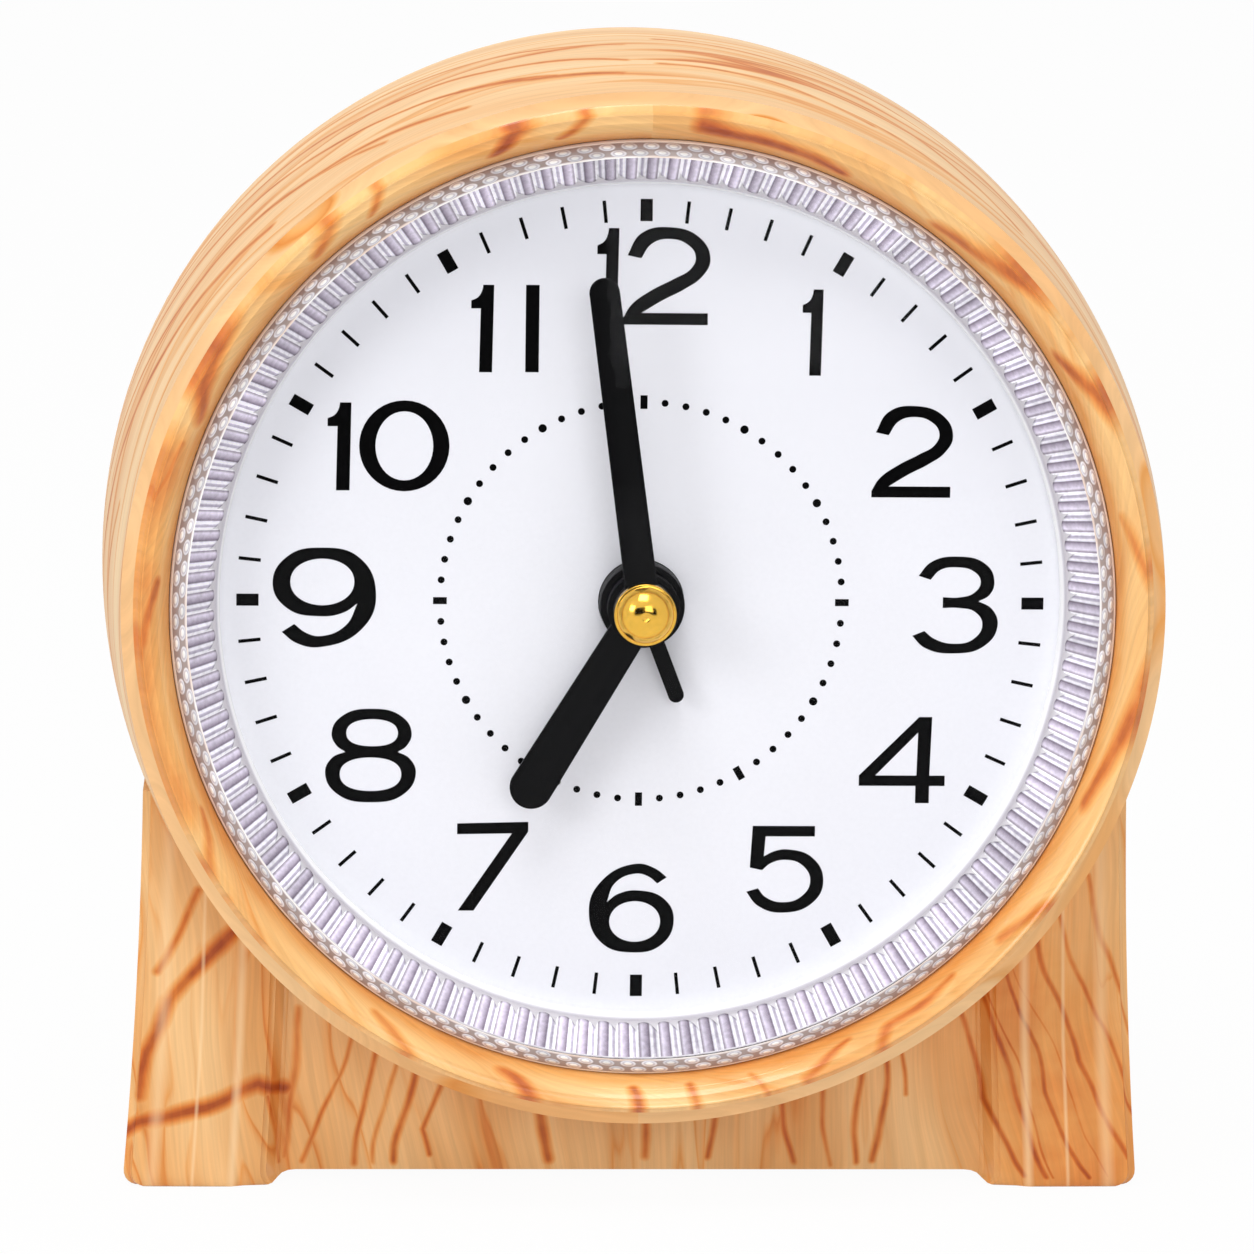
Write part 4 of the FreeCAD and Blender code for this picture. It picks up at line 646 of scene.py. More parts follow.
@dataclass(frozen=True)
class BeadRow(Finish):
    """Rim of the clear lens with its row of moulded beads, painted as the light that they turn back.

    From inside out: a smooth clear band that mirrors the wood, a row of bright beads, a bright rim line.
    """

    name: str
    start: float = 42.9
    row: float = 43.35
    pitch: float = 0.62
    half: float = 0.34

    def surface(self, tree: bpy.types.NodeTree) -> Source:
        """Return the shader."""
        split = add(tree, "SeparateXYZ", (add(tree, "UVMap", uv_map="prism"),))
        count, radius = split.outputs[0], split.outputs[1]
        second = add(tree, "Math", (radius, self.row + self.pitch / 2), operation="GREATER_THAN")
        moved = add(tree, "Math", (second, 0.5, count), operation="MULTIPLY_ADD")
        phase = add(tree, "Math", (moved,), operation="FRACT")
        whole = add(tree, "Math", (moved,), operation="FLOOR")
        chance = add(tree, "TexWhiteNoise", {"W": whole}, noise_dimensions="1D")
        area = add(tree, "TexNoise", {"W": count, "Scale": 1 / 7, "Detail": 2.0}, noise_dimensions="1D")
        out = add(tree, "MapRange", (radius, self.start, RIM_RADIUS))
        smooth = add(tree, "ValToRGB", {"Fac": out}, stops=[(0.0, "ffffff"), (1.0, "f8f7fc"),
                                                            (0.06, "ffffff"), (0.12, "ccc2c8"),
                                                            (0.16, "a3948f"), (0.9, "9c8d8e"),
                                                            (0.94, "ffffff")])
        peach = add(tree, "MapRange", (area, 0.48, 0.62, 0.0, 0.5))
        bandside = add(tree, "Math", (radius, 43.1), operation="LESS_THAN")
        peach = add(tree, "Math", (peach, bandside), operation="MULTIPLY")
        warm = add(tree, "Mix", {0: peach, 6: smooth, 7: linear("dcb598")}, data_type="RGBA")
        side = add(tree, "Math", (phase, 0.5), operation="SUBTRACT")
        side = add(tree, "Math", (side, 0.4), operation="DIVIDE")
        middle = add(tree, "Math", (second, self.pitch, self.row), operation="MULTIPLY_ADD")
        rise = add(tree, "Math", (radius, middle), operation="SUBTRACT")
        rise = add(tree, "Math", (rise, self.half), operation="DIVIDE")
        lean = add(tree, "Math", (rise, 0.12, side), operation="MULTIPLY_ADD")
        flat = add(tree, "CombineXYZ", (lean, rise))
        away = add(tree, "VectorMath", (flat,), operation="LENGTH").outputs["Value"]
        bead = add(tree, "ValToRGB", {"Fac": away}, stops=[(0.0, "ffffff"), (1.0, "9a8d8c"), (0.35, "ffffff"),
                                                           (0.55, "c9c4ce"), (0.8, "f0eef5")])
        share = add(tree, "MapRange", (away, 0.92, 1.02, 1.0, 0.0))
        shade = add(tree, "MapRange", {"Value": chance, "To Min": 0.78, "To Max": 1.1})
        beads = add(tree, "VectorMath", {0: bead, "Scale": shade}, operation="SCALE")
        colour = add(tree, "Mix", {0: share, 6: warm.outputs[2], 7: beads}, data_type="RGBA")
        height = add(tree, "MapRange", (away, 0.0, 1.0, 1.0, 0.0))
        bump = add(tree, "Bump", {"Height": height, "Strength": 0.6, "Distance": 0.3 * MM})
        return add(tree, "BsdfPrincipled", {"Base Color": colour.outputs[2], "Roughness": 0.2, "IOR": 1.49,
                                            "Coat Weight": 0.5, "Coat Roughness": 0.04, "Normal": bump})


@dataclass(frozen=True)
class PrintedCard(Finish):
    """Screen printed dial card: cool white, faint fibre, almost no gloss."""

    name: str
    colour: str = "eff0f7"

    def surface(self, tree: bpy.types.NodeTree) -> Source:
        """Return the shader."""
        place = add(tree, "TexCoord").outputs["Object"]
        fibre = add(tree, "TexNoise", {"Vector": place, "Scale": 1 / (0.4 * MM), "Detail": 3.0})
        cloud = add(tree, "TexNoise", {"Vector": place, "Scale": 1 / (14 * MM), "Detail": 1.0})
        mixed = add(tree, "Math", (fibre, cloud), operation="ADD")
        shade = add(tree, "MapRange", (mixed, 0.6, 1.4, 0.975, 1.015))
        colour = add(tree, "VectorMath", {0: linear(self.colour)[:3], "Scale": shade}, operation="SCALE")
        bump = add(tree, "Bump", {"Height": fibre, "Strength": 0.1, "Distance": 0.005 * MM})
        return add(tree, "BsdfPrincipled", {"Base Color": colour, "Roughness": 0.55, "IOR": 1.45,
                                            "Normal": bump})


@dataclass(frozen=True)
class WoundWire(Finish):
    """Enamelled copper wire in close turns: a ridge each 0.12 mm, drawn at 0.3 mm so that it shows."""

    name: str
    colour: str = "b5602f"
    pitch_mm: float = 0.3

    def surface(self, tree: bpy.types.NodeTree) -> Source:
        """Return the shader."""
        place = add(tree, "TexCoord").outputs["Object"]
        turns = add(tree, "TexWave", {"Vector": place, "Scale": math.pi / 10 / (self.pitch_mm * MM),
                                      "Distortion": 0.4}, bands_direction="X")
        # The colour darkens in the grooves between the turns: painted shade.
        shade = add(tree, "MapRange", {"Value": turns.outputs["Fac"], "To Min": 0.6, "To Max": 1.05})
        colour = add(tree, "VectorMath", {0: linear(self.colour)[:3], "Scale": shade}, operation="SCALE")
        bump = add(tree, "Bump", {"Height": turns.outputs["Fac"], "Strength": 0.6, "Distance": 0.06 * MM})
        return add(tree, "BsdfPrincipled", {"Base Color": colour, "Metallic": 0.8, "Roughness": 0.35,
                                            "Normal": bump})


@dataclass(frozen=True)
class CellSkin(Finish):
    """Shrink sleeve of an AA cell: plain dark body with one plain copper coloured end, no print."""

    name: str
    body: str = "2a2b2e"
    end: str = "b9783f"

    def surface(self, tree: bpy.types.NodeTree) -> Source:
        """Return the shader."""
        low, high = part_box("battery_cell")
        place = add(tree, "SeparateXYZ", (add(tree, "TexCoord").outputs["Object"],))
        share = add(tree, "MapRange", (place, low.x, high.x))
        bands = add(tree, "ValToRGB", {"Fac": share}, stops=[(0.0, "b8b9ba"), (0.02, self.body),
                                                             (0.68, self.end), (0.94, "b8b9ba")])
        bands.color_ramp.interpolation = "CONSTANT"
        speck = add(tree, "TexNoise", {"Vector": add(tree, "TexCoord").outputs["Object"],
                                       "Scale": 1 / (0.5 * MM), "Detail": 2.0})
        rough = add(tree, "MapRange", {"Value": speck, "To Min": 0.22, "To Max": 0.34})
        return add(tree, "BsdfPrincipled", {"Base Color": bands, "Metallic": 0.35, "Roughness": rough})


@dataclass(frozen=True)
class Ink(Finish):
    """Screen printing ink: deep black, matt, slightly uneven where the mesh laid it down."""

    name: str
    colour: str = "040405"

    def surface(self, tree: bpy.types.NodeTree) -> Source:
        """Return the shader."""
        mesh = add(tree, "TexNoise", {"Vector": add(tree, "TexCoord").outputs["Object"],
                                      "Scale": 1 / (0.15 * MM), "Detail": 1.0})
        rough = add(tree, "MapRange", {"Value": mesh, "To Min": 0.5, "To Max": 0.65})
        return add(tree, "BsdfPrincipled", {"Base Color": linear(self.colour), "Roughness": rough,
                                            "Specular IOR Level": 0.04})


# Bold veins of the bezel, then a ring of painted shade on its inner flank next to the lens and a wide darker
# band over its left side: width, strength, then degrees clockwise from the top and radius of each point.
BEZEL_VEINS: tuple[tuple[float, float, tuple[Point, ...]], ...] = (
    (1.5, 0.9, ((341.4, 45.2), (344.0, 47.5), (348.5, 49.2))),
    (1.0, 0.7, ((349.3, 45.5), (354.4, 48.4))),
    (0.9, 0.6, ((325.6, 45.6), (329.2, 48.6))),
    (1.4, 0.7, ((317.0, 45.3), (322.4, 48.4))),
    (1.8, 0.85, ((294.0, 45.2), (297.3, 46.4), (303.2, 47.5), (309.8, 48.4))),
    (1.5, 0.8, ((256.0, 48.8), (261.6, 48.0), (268.0, 46.8), (273.7, 45.2))),
    (1.0, 0.55, ((277.4, 48.3), (290.1, 46.4))),
    (1.9, 0.95, ((5.5, 46.2), (10.0, 45.8), (22.8, 44.5))),
    (1.6, 0.75, ((36.0, 45.0), (40.4, 45.7), (54.2, 48.7))),
    (1.7, 0.85, ((57.6, 44.8), (64.0, 46.8), (72.0, 49.3))),
    (1.6, 0.8, ((93.8, 48.4), (103.0, 46.6), (112.7, 44.8))),
    (1.4, 0.75, ((197.0, 45.0), (190.8, 48.2))),
    (1.2, 0.8, ((181.3, 44.8), (180.0, 48.6))),
    (1.0, 0.7, ((174.0, 44.8), (172.5, 48.6))),
    (0.8, 0.5, ((166.0, 44.8), (164.0, 48.6))),
    (1.2, 0.7, ((139.7, 44.6), (148.8, 46.0), (152.0, 48.0))),
    (0.9, 0.6, ((154.4, 44.8), (159.9, 46.8))),
    (1.3, 0.6, ((234.5, 47.6), (227.6, 49.0))),
    (1.1, 0.6, ((246.0, 45.0), (236.0, 48.4))),
    (1.0, 0.5, ((214.0, 45.2), (205.0, 48.0))),
    (1.2, 0.6, ((122.0, 48.6), (132.0, 46.0))),
    (1.1, 0.5, ((78.0, 45.0), (88.0, 48.8))),
    # Painted shade: a darker ring on the bezel's inner flank, all the way round next to the lens.
    (3.0, 0.3, ((1.0, 43.2), (359.0, 43.2))),
    (4.5, 0.45, ((248.0, 47.0), (288.0, 47.0))))


# Bold veins of the barrel: width, strength, then degrees clockwise from the top and depth of each point.
BARREL_VEINS: tuple[tuple[float, float, tuple[Point, ...]], ...] = (
    (1.2, 0.78, ((262.0, 20.0), (280.0, 12.0), (300.0, 6.0), (315.0, 0.0))),
    (0.95, 0.76, ((268.0, 26.0), (285.0, 19.0), (305.0, 11.0), (325.0, 4.0), (340.0, -1.0))),
    (0.82, 0.76, ((275.0, 30.0), (295.0, 24.0), (315.0, 17.0), (335.0, 9.0), (350.0, 3.0))),
    (0.82, 0.71, ((285.0, 31.0), (310.0, 25.0), (330.0, 18.0), (350.0, 11.0), (358.0, 8.0))),
    (0.68, 0.66, ((300.0, 31.0), (325.0, 27.0), (345.0, 21.0), (358.0, 17.0))),
    (0.68, 0.6, ((280.0, 15.0), (300.0, 12.0), (318.0, 7.0), (330.0, 0.0))),
    (1.2, 0.78, ((340.0, 7.0), (348.0, 3.0), (357.0, 1.0))),
    (0.95, 0.66, ((2.0, 6.0), (12.0, 5.0), (25.0, 1.0))),
    (0.82, 0.66, ((2.0, 14.0), (15.0, 12.0), (30.0, 8.0), (45.0, 1.0))),
    (0.68, 0.66, ((2.0, 22.0), (20.0, 20.0), (40.0, 14.0), (60.0, 5.0))),
    (0.68, 0.66, ((20.0, 28.0), (40.0, 24.0), (60.0, 16.0), (80.0, 7.0))),
    (0.82, 0.66, ((50.0, 30.0), (70.0, 24.0), (95.0, 14.0))),
    (0.82, 0.66, ((240.0, 18.0), (262.0, 10.0), (280.0, 2.0))),
    (0.82, 0.66, ((78.0, 28.0), (98.0, 20.0), (118.0, 12.0))))


def around(veins: Sequence[tuple[float, float, tuple[Point, ...]]],
           across: Callable[[float], float], cut: float = 0.0) -> tuple[Stroke, ...]:
    """Lay veins given by their angle on the film's map.

    Args:
        veins: Width and strength of each vein, and its points as degrees clockwise and a second value.
        across: Change of the second value to its place across the film.
        cut: Degrees clockwise from the top at which the film's ends meet.

    Returns:
        The strokes.
    """
    return tuple(Stroke(width, strength, tuple((math.radians((turn - cut) % 360 - 180) * FILM_RADIUS,
                                                across(second)) for turn, second in points))
                 for width, strength, points in veins)


def bezel_across(radius: float) -> float:
    """Return a radius' place across the bezel's film."""
    return -(NOSE_RADIUS - radius) * BEZEL_STRETCH


# Bold veins of the base on its front, across and up from the hand axis.
BASE_STROKES: tuple[Stroke, ...] = tuple(Stroke(*row) for row in (
    (13.0, 0.42, ((35.0, -34.0), (44.0, -57.0))),
    (1.2, 1, ((-50.5, -53.0), (-47.8, -51.9), (-41.2, -49.6), (-36.1, -47.5), (-33.4, -48.6))),
    (1.1, 0.9, ((-47.9, -49.0), (-47.1, -44.7), (-44.9, -39.1), (-40.9, -34.4), (-38.0, -32.3))),
    (0.66, 0.7, ((-45.9, -36.0), (-41.7, -28.8))),
    (0.41, 0.6, ((-35.0, -49.0), (-33.6, -56.0))),
    (0.57, 0.6, ((-32.6, -40.6), (-33.0, -55.5))),
    (0.41, 0.6, ((-27.0, -43.2), (-29.0, -48.3), (-31.2, -56.0))),
    (0.49, 0.7, ((-24.5, -44.0), (-26.9, -56.0))),
    (0.57, 0.8, ((-20.4, -46.0), (-23.1, -56.0))),
    (0.41, 0.7, ((-17.9, -47.3), (-20.3, -53.4), (-19.8, -56.0))),
    (0.41, 0.5, ((-22.5, -46.0), (-25.2, -56.0))),
    (0.82, 0.85, ((-9.2, -48.0), (-8.8, -50.9), (-7.7, -56.0))),
    (0.57, 0.8, ((1.6, -48.0), (1.2, -56.0))),
    (0.57, 0.75, ((8.2, -47.0), (7.5, -56.0))),
    (0.49, 0.75, ((14.4, -46.0), (15.7, -56.0))),
    (0.41, 0.6, ((17.6, -45.0), (19.5, -56.0))),
    (0.49, 0.75, ((21.7, -43.0), (22.3, -56.0))),
    (0.49, 0.8, ((24.2, -42.0), (24.5, -50.4), (23.8, -56.0))),
    (0.41, 0.7, ((25.7, -42.0), (26.5, -49.3))),
    (0.57, 0.8, ((30.7, -38.0), (34.3, -49.3), (38.5, -57.0))),
    (0.57, 0.85, ((32.7, -35.0), (36.3, -47.3), (40.4, -57.0))),
    (0.57, 0.85, ((35.3, -33.0), (39.9, -48.3), (44.1, -57.0))),
    (0.57, 0.8, ((38.2, -30.0), (42.9, -45.7), (48.2, -55.0))),
    (0.49, 0.7, ((40.2, -28.0), (44.4, -41.1), (49.5, -51.0))),
    (0.49, 0.6, ((43.2, -27.0), (46.7, -38.0), (50.5, -46.0))),
    (0.33, 0.7, ((34.0, -38.0), (41.0, -57.0))),
    (0.33, 0.6, ((37.0, -36.0), (46.0, -57.0)))))


# Painted highlights of the base: pale strips along its bevels and corners that stand for the glint of the
# lamps, across and up from the hand axis.
BASE_GLINTS: tuple[Stroke, ...] = tuple(
    Stroke(width, strength, tuple((side * across, up) for across, up in points))
    for side in (-1, 1) for width, strength, points in (
        (0.6, 0.55, ((37.2, -16.0), (37.9, -43.0), (38.7, -58.0))),
        (0.25, 0.45, ((40.9, -16.0), (41.6, -43.0), (42.5, -58.0))),
        (0.9, 0.35, ((44.4, -16.0), (45.3, -43.0), (46.4, -58.0)))))


class Finishes:
    """All materials of the clock, by the record's slot names, and those that only new pieces use."""

    def __init__(self) -> None:
        """Make the materials."""
        plastics = {
            "white_plastic": MouldedPlastic("styrene_white", "e9e8e4"),
            "black_plastic": MouldedPlastic("abs_black", "17171a", 0.42),
            "button_plastic": MouldedPlastic("abs_button", "1d1d20", 0.36),
            "hand_black": MouldedPlastic("hand_paint_black", "08080a", 0.42, 0.2, 0.004, 0.1, 0.06),
            "gear_white": MouldedPlastic("acetal_white", "eeede6", 0.3),
            "gear_green": MouldedPlastic("acetal_green", "5d9a6c", 0.3),
            "board_green": MouldedPlastic("board_lacquer", "1e6b3c", 0.25, 0.6, 0.02, 0.2),
            "magnet": MouldedPlastic("ferrite_magnet", "3a3836", 0.35, 0.2, 0.01, 0.15),
            "lamp_clear": MouldedPlastic("epoxy_lamp", "e8e2c9", 0.12, 0.5, 0.004, 0.05),
        }
        metals = {
            "steel": Metal("steel_plated", "b9babc"),
            "dark_steel": Metal("steel_laminated", "6f7072", 0.36),
            "brass": Metal("brass_turned", "c9a24e"),
            "cap_gold": Metal("gilt_cap", "f0bd4e", 0.13, (0.5, 0.5, 0.5), 0.0005),
        }
        self.by_slot: dict[str, bpy.types.Material] = {
            slot: finish.make() for slot, finish in {**plastics, **metals}.items()}
        self.by_slot["dial_white"] = PrintedCard("dial_card").make()
        self.by_slot["copper"] = WoundWire("enamelled_copper").make()
        self.by_slot["cell_skin"] = CellSkin("cell_sleeve").make()
        self.by_slot["clear"] = ClearCover("styrene_clear").make()
        self.by_slot["ribbed_clear"] = PrismRing("styrene_prisms").make()
        self.by_slot["bead_row"] = BeadRow("styrene_beads").make()
        self.ink = Ink("screen_ink").make()
        self.barrel = WoodFilm("wood_film_barrel", 2.0, 80.0, 7.0, 4.0, 0.8, "fbd9a8", "ecb980",
                               around(BARREL_VEINS, lambda depth: depth - NOSE_DEPTH, 180.0), coat=0.08,
                               wander=2.0).make()
        self.bezel = WoodFilm("wood_film_bezel", 24.0, 40.0, 8.0, 2.6, 0.35, "fdd08d", "f0b369",
                              around(BEZEL_VEINS, bezel_across), coat=0.55).make()
        self.base = WoodFilm("wood_film_base", 82.0, 34.0, 5.0, 4.5, 0.5, "f7ca8e", "e6aa66",
                             BASE_STROKES, BASE_GLINTS, wander=2.6).make()
        self.inside = MouldedPlastic("abs_inside", "e3b27c", 0.5).make()
        self.by_slot["wood_print"] = self.base

    @property
    def case(self) -> list[bpy.types.Material]:
        """Materials of the case's pieces in the order of their slots."""
        return [self.barrel, self.bezel, self.base, self.inside]


# ---------------------------------------------------------------- case

class Face(Enum):
    """Parts of the case that the film is laid on in different ways."""

    BARREL = 0
    BEZEL = 1
    BASE = 2
    INSIDE = 3


@dataclass
class Case:
    """Front case, rear cover and battery door, covered with wood print film.

    Sizes are in millimetres about the dial's centre; depths grow to the back.
    """

    finishes: Finishes
    seam_depth: float = 33.0
    seam_radius: float = 51.9
    floor: float = -58.0
    half_widths: tuple[float, float, float] = (49.2, 48.1, 47.2)
    heights: tuple[float, float, float] = (0.0, 15.0, 42.0)
    edge: float = 1.7
    rear_sheet: float = 200.0
    # Half of the arch under the base, from the floor up: across and height.
    arch: tuple[Point, ...] = ((36.0, -1.0), (35.4, 0.0), (34.8, 0.12), (34.25, 0.45), (33.8, 0.85),
                               (33.2, 1.1), (32.5, 1.18))

    def half_width(self, height: float) -> float:
        """Find the base's half width.

        Args:
            height: Height over the floor.

        Returns:
            The value on the parabola through the three measured half widths.
        """
        (a, b, c), (p, q, r) = self.half_widths, self.heights
        return (a * (height - q) * (height - r) / ((p - q) * (p - r))
                + b * (height - p) * (height - r) / ((q - p) * (q - r))
                + c * (height - p) * (height - q) / ((r - p) * (r - q)))

    def plan(self, height: float) -> list[Vector]:
        """Return the base's outline at a height over the floor.

        Args:
            height: Height over the floor.

        Returns:
            Points of the outline, seen from above, starting at the right rear corner.
        """
        w = self.half_width(height)
        tuck = self.edge - math.sqrt(self.edge ** 2 - max(0.0, self.edge - height) ** 2)
        w -= tuck
        front = rounded([(w, 7.0), (w, 2.6, 0.8), (0.865 * w, 2.5, 2.5), (0.815 * w, 2.5, 0.4),
                         (0.79 * w, 2.95, 0.4), (0.725 * w, 3.3, 0.8), (0.7 * w, 5.2, 0.5), (0.0, 5.2)], 6)
        right = [(w, self.seam_depth), (w, 20.0)] + front[:-1]
        left = [(-x, d) for x, d in reversed(right)]
        return [Vector((x, d + (0.35 * tuck if d < 6 else 0.0), self.floor + height))
                for x, d in right + left]

    def barrel(self) -> bpy.types.Object:
        """Return the barrel with the bezel as one spun ring."""
        outer = rounded([(46.7, -4.4), (44.6, -4.4, 0.1), (44.6, -6.1, 0.4), (45.55, -8.35, 0.5),
                         (46.6, -9.2, 1.2), (49.0, -9.2, 1.9), (49.07, -7.0)], 7)
        outer += bow((49.07, -7.0), (self.seam_radius, self.seam_depth - 0.2), 0.701, 24)[1:]
        profile = outer + [(self.seam_radius - 0.18, self.seam_depth), (49.7, self.seam_depth), (47.8, 2.6),
                           (46.7, 2.6)]
        bm = spun(profile, 240, closed=True)
        for face in bm.faces:
            centre = face.calc_center_median()
            radius = math.hypot(centre.x, centre.z)
            inward = face.normal.dot(Vector((centre.x, 0, centre.z))) < 0
            if radius < 47.2 and centre.y > -4.6 or radius < 50.3 and centre.y > 2.5 and inward:
                face.material_index = Face.INSIDE.value
            elif centre.y < NOSE_DEPTH + 0.5 or radius < 46.9:
                face.material_index = Face.BEZEL.value
        return piece("case_body", bm, self.finishes.case)

    def base(self) -> bpy.types.Object:
        """Return the stepped base with its feet."""
        low = [self.edge * (1 - math.cos(math.radians(15 * step))) for step in range(6)]
        bm = lofted(self.plan(height) for height in low + [self.edge + 3.1 * step for step in range(13)])
        for face in bm.faces:
            face.material_index = Face.BASE.value
        return piece("base", bm, self.finishes.case)

    def cutter(self, bm: bmesh.types.BMesh, face: Face = Face.INSIDE) -> bpy.types.Object:
        """Return a solid to cut with, whose cut faces get one of the case's materials.

        Args:
            bm: Shape.
            face: Part of the case that the cut faces count as.

        Returns:
            The object.
        """
        for each in bm.faces:
            each.material_index = face.value
        return piece("cutter", bm, self.finishes.case)

    def front(self) -> bpy.types.Object:
        """Build the front case.

        Returns:
            The dressed piece.
        """
        base = self.base()
        hollow = spun([(0, -4.3), (46.69, -4.3), (46.69, 2.61), (47.79, 2.61), (49.69, 34), (0, 34)], 120)
        combine(base, self.cutter(hollow), Join.CUT)
        combine(base, self.cutter(block((-45, 7.4, -54.1), (45, 34, -20))), Join.CUT)
        sides = [(-x, z) for x, z in self.arch] + list(reversed(self.arch))
        arch = lofted([[Vector((x, d, self.floor + z)) for x, z in sides] for d in (0.0, 40.0)])
        combine(base, self.cutter(arch, Face.BASE), Join.CUT)
        body = self.barrel()
        combine(body, base, Join.ADD)
        return body

    def lay_film(self, made: bpy.types.Object, sheet: float = 0.0) -> None:
        """Give a piece the film's map in millimetres, by the part of the case each face belongs to.

        Args:
            made: Piece whose faces are marked by their material.
            sheet: Place of the sheet that covers it, in millimetres along the print.
        """
        mesh = made.data
        layer = mesh.uv_layers.get("film") or mesh.uv_layers.new(name="film")
        places = [INVERSE @ vertex.co for vertex in mesh.vertices]
        for polygon in mesh.polygons:
            centre = INVERSE @ polygon.center
            kind = Face(polygon.material_index)
            up = 1 if kind is Face.BARREL else -1
            around = math.atan2(up * centre.x, up * centre.z)
            for loop in polygon.loop_indices:
                place = places[mesh.loops[loop].vertex_index]
                if kind in (Face.BARREL, Face.BEZEL):
                    turn = math.atan2(up * place.x, up * place.z) - around
                    turn = around + (turn + math.pi) % math.tau - math.pi
                    radius = math.hypot(place.x, place.z)
                    across = place.y - NOSE_DEPTH
                    if kind is Face.BEZEL:
                        across = bezel_across(radius) - max(0.0, place.y + 8.7)
                    layer.data[loop].uv = (turn * FILM_RADIUS, across)
                else:
                    side = math.copysign(max(0.0, place.y - 2.5), centre.x) if abs(centre.x) > 46 else 0.0
                    layer.data[loop].uv = (place.x + side + sheet, place.z)

    def rear(self) -> None:
        """Dress the rear cover and the battery door with the film."""
        cover = softened("rear_cover", "rear_shell", 0.12, 1, 40)
        door = softened("battery_door", "battery_lid", 0.12, 1, 40)
        for material in self.finishes.case:
            cover.data.materials.append(material)
            door.data.materials.append(material)
        for polygon in cover.data.polygons:
            centre = INVERSE @ polygon.center
            normal = polygon.normal
            radius = math.hypot(centre.x, centre.z)
            outward = normal.x * centre.x + normal.z * centre.z > 0.3 * radius
            if outward and centre.z > -40 and radius > 50.5:
                polygon.material_index = Face.BARREL.value
            elif normal.y < -0.4 and centre.y < 36 or radius < 49.8 and centre.y < 35.7 and centre.z > -57:
                polygon.material_index = Face.INSIDE.value
            else:
                polygon.material_index = Face.BASE.value
        self.lay_film(cover, self.rear_sheet)
        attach(cover, "case")
        for polygon in door.data.polygons:
            polygon.material_index = Face.BASE.value
        self.lay_film(door, self.rear_sheet)
        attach(door, "door")

    def build(self) -> None:
        """Build and dress the whole case."""
        body = self.front()
        body.data.shade_smooth()
        body.data.set_sharp_from_angle(angle=math.radians(32))
        self.lay_film(body)
        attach(body, "case")
        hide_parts("front_case")
        self.rear()


# ---------------------------------------------------------------- lens and ribbed ring

@dataclass
class Glazing:
    """Clear domed lens with its bead row, and the ribbed ring between lens and dial."""

    finishes: Finishes
    prisms: int = 133
    beads: int = 134
    relief: float = 0.3

    def map_prisms(self, made: bpy.types.Object, count: int) -> None:
        """Give a ring the map that counts its prisms and holds the radius in millimetres.

        Args:
            made: Ring about the hand axis.
            count: Number of prisms in the full turn.
        """
        layer = made.data.uv_layers.new(name="prism")
        places = [INVERSE @ vertex.co for vertex in made.data.vertices]
        for polygon in made.data.polygons:
            centre = INVERSE @ polygon.center
            around = math.atan2(centre.x, centre.z)
            for loop in polygon.loop_indices:
                place = places[made.data.loops[loop].vertex_index]
                turn = math.atan2(place.x, place.z) - around
                turn = around + (turn + math.pi) % math.tau - math.pi
                layer.data[loop].uv = ((turn / math.tau + 0.5) * count, math.hypot(place.x, place.z))

    def lens(self) -> None:
        """Build the domed lens."""
        clear_edge = BeadRow("").start
        outer = bow((0, -11.8), (clear_edge, -7.0), 1.18, 14)
        outer += [(43.3, -6.9), (43.6, -6.85), (43.9, -6.7), (44.3, -6.45), (44.5, -6.1),
                  (44.56, -5.6), (44.56, -4.275), (46.4, -4.275), (46.4, -3.075), (43.4, -3.075)]
        inner = bow((43.3, -5.95), (0, -10.3), -1.2, 12)
        bm = spun(outer + inner, 240)
        for face in bm.faces:
            centre = face.calc_center_median()
            radius = math.hypot(centre.x, centre.z)
            front = face.normal.y < -0.15 or radius > 43.0
            face.material_index = int(radius > clear_edge and centre.y < -4.3 and front)
        dome = piece("lens_dome", bm, [self.finishes.by_slot["clear"], self.finishes.by_slot["bead_row"]])
        self.map_prisms(dome, self.beads)
        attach(dome, "case")
        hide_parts("lens")

    def ring(self) -> None:
        """Build the ribbed ring and map its prisms."""
        slope = [(40.6 + 2.5 * share / 6, -2.3 - 3.2 * share / 6) for share in range(7)]
        profile = [(46.4, 0.0), (39.9, 0.0), (39.9, -0.9), (40.3, -2.2)] + slope
        profile += [(43.2, -5.5), (43.3, -2.975), (46.4, -2.975)]
        bm = spun(profile, self.prisms * 8, closed=True)
        for vert in bm.verts:
            radius = math.hypot(vert.co.x, vert.co.z)
            if 40.7 < radius < 43.0 and -5.4 < vert.co.y < -2.4:
                phase = (math.atan2(vert.co.x, vert.co.z) / math.tau + 0.5) * self.prisms % 1.0
                vert.co.y -= self.relief * max(0.0, math.cos(math.tau * (phase - 0.16)))
        ring = piece("prism_ring", bm, [self.finishes.by_slot["ribbed_clear"]])
        self.map_prisms(ring, self.prisms)
        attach(ring, "case")
        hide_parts("ribbed_ring")

    def build(self) -> None:
        """Build both."""
        self.lens()
        self.ring()


# ---------------------------------------------------------------- dial print

Glyph = list[list[tuple[int, int, int]]]

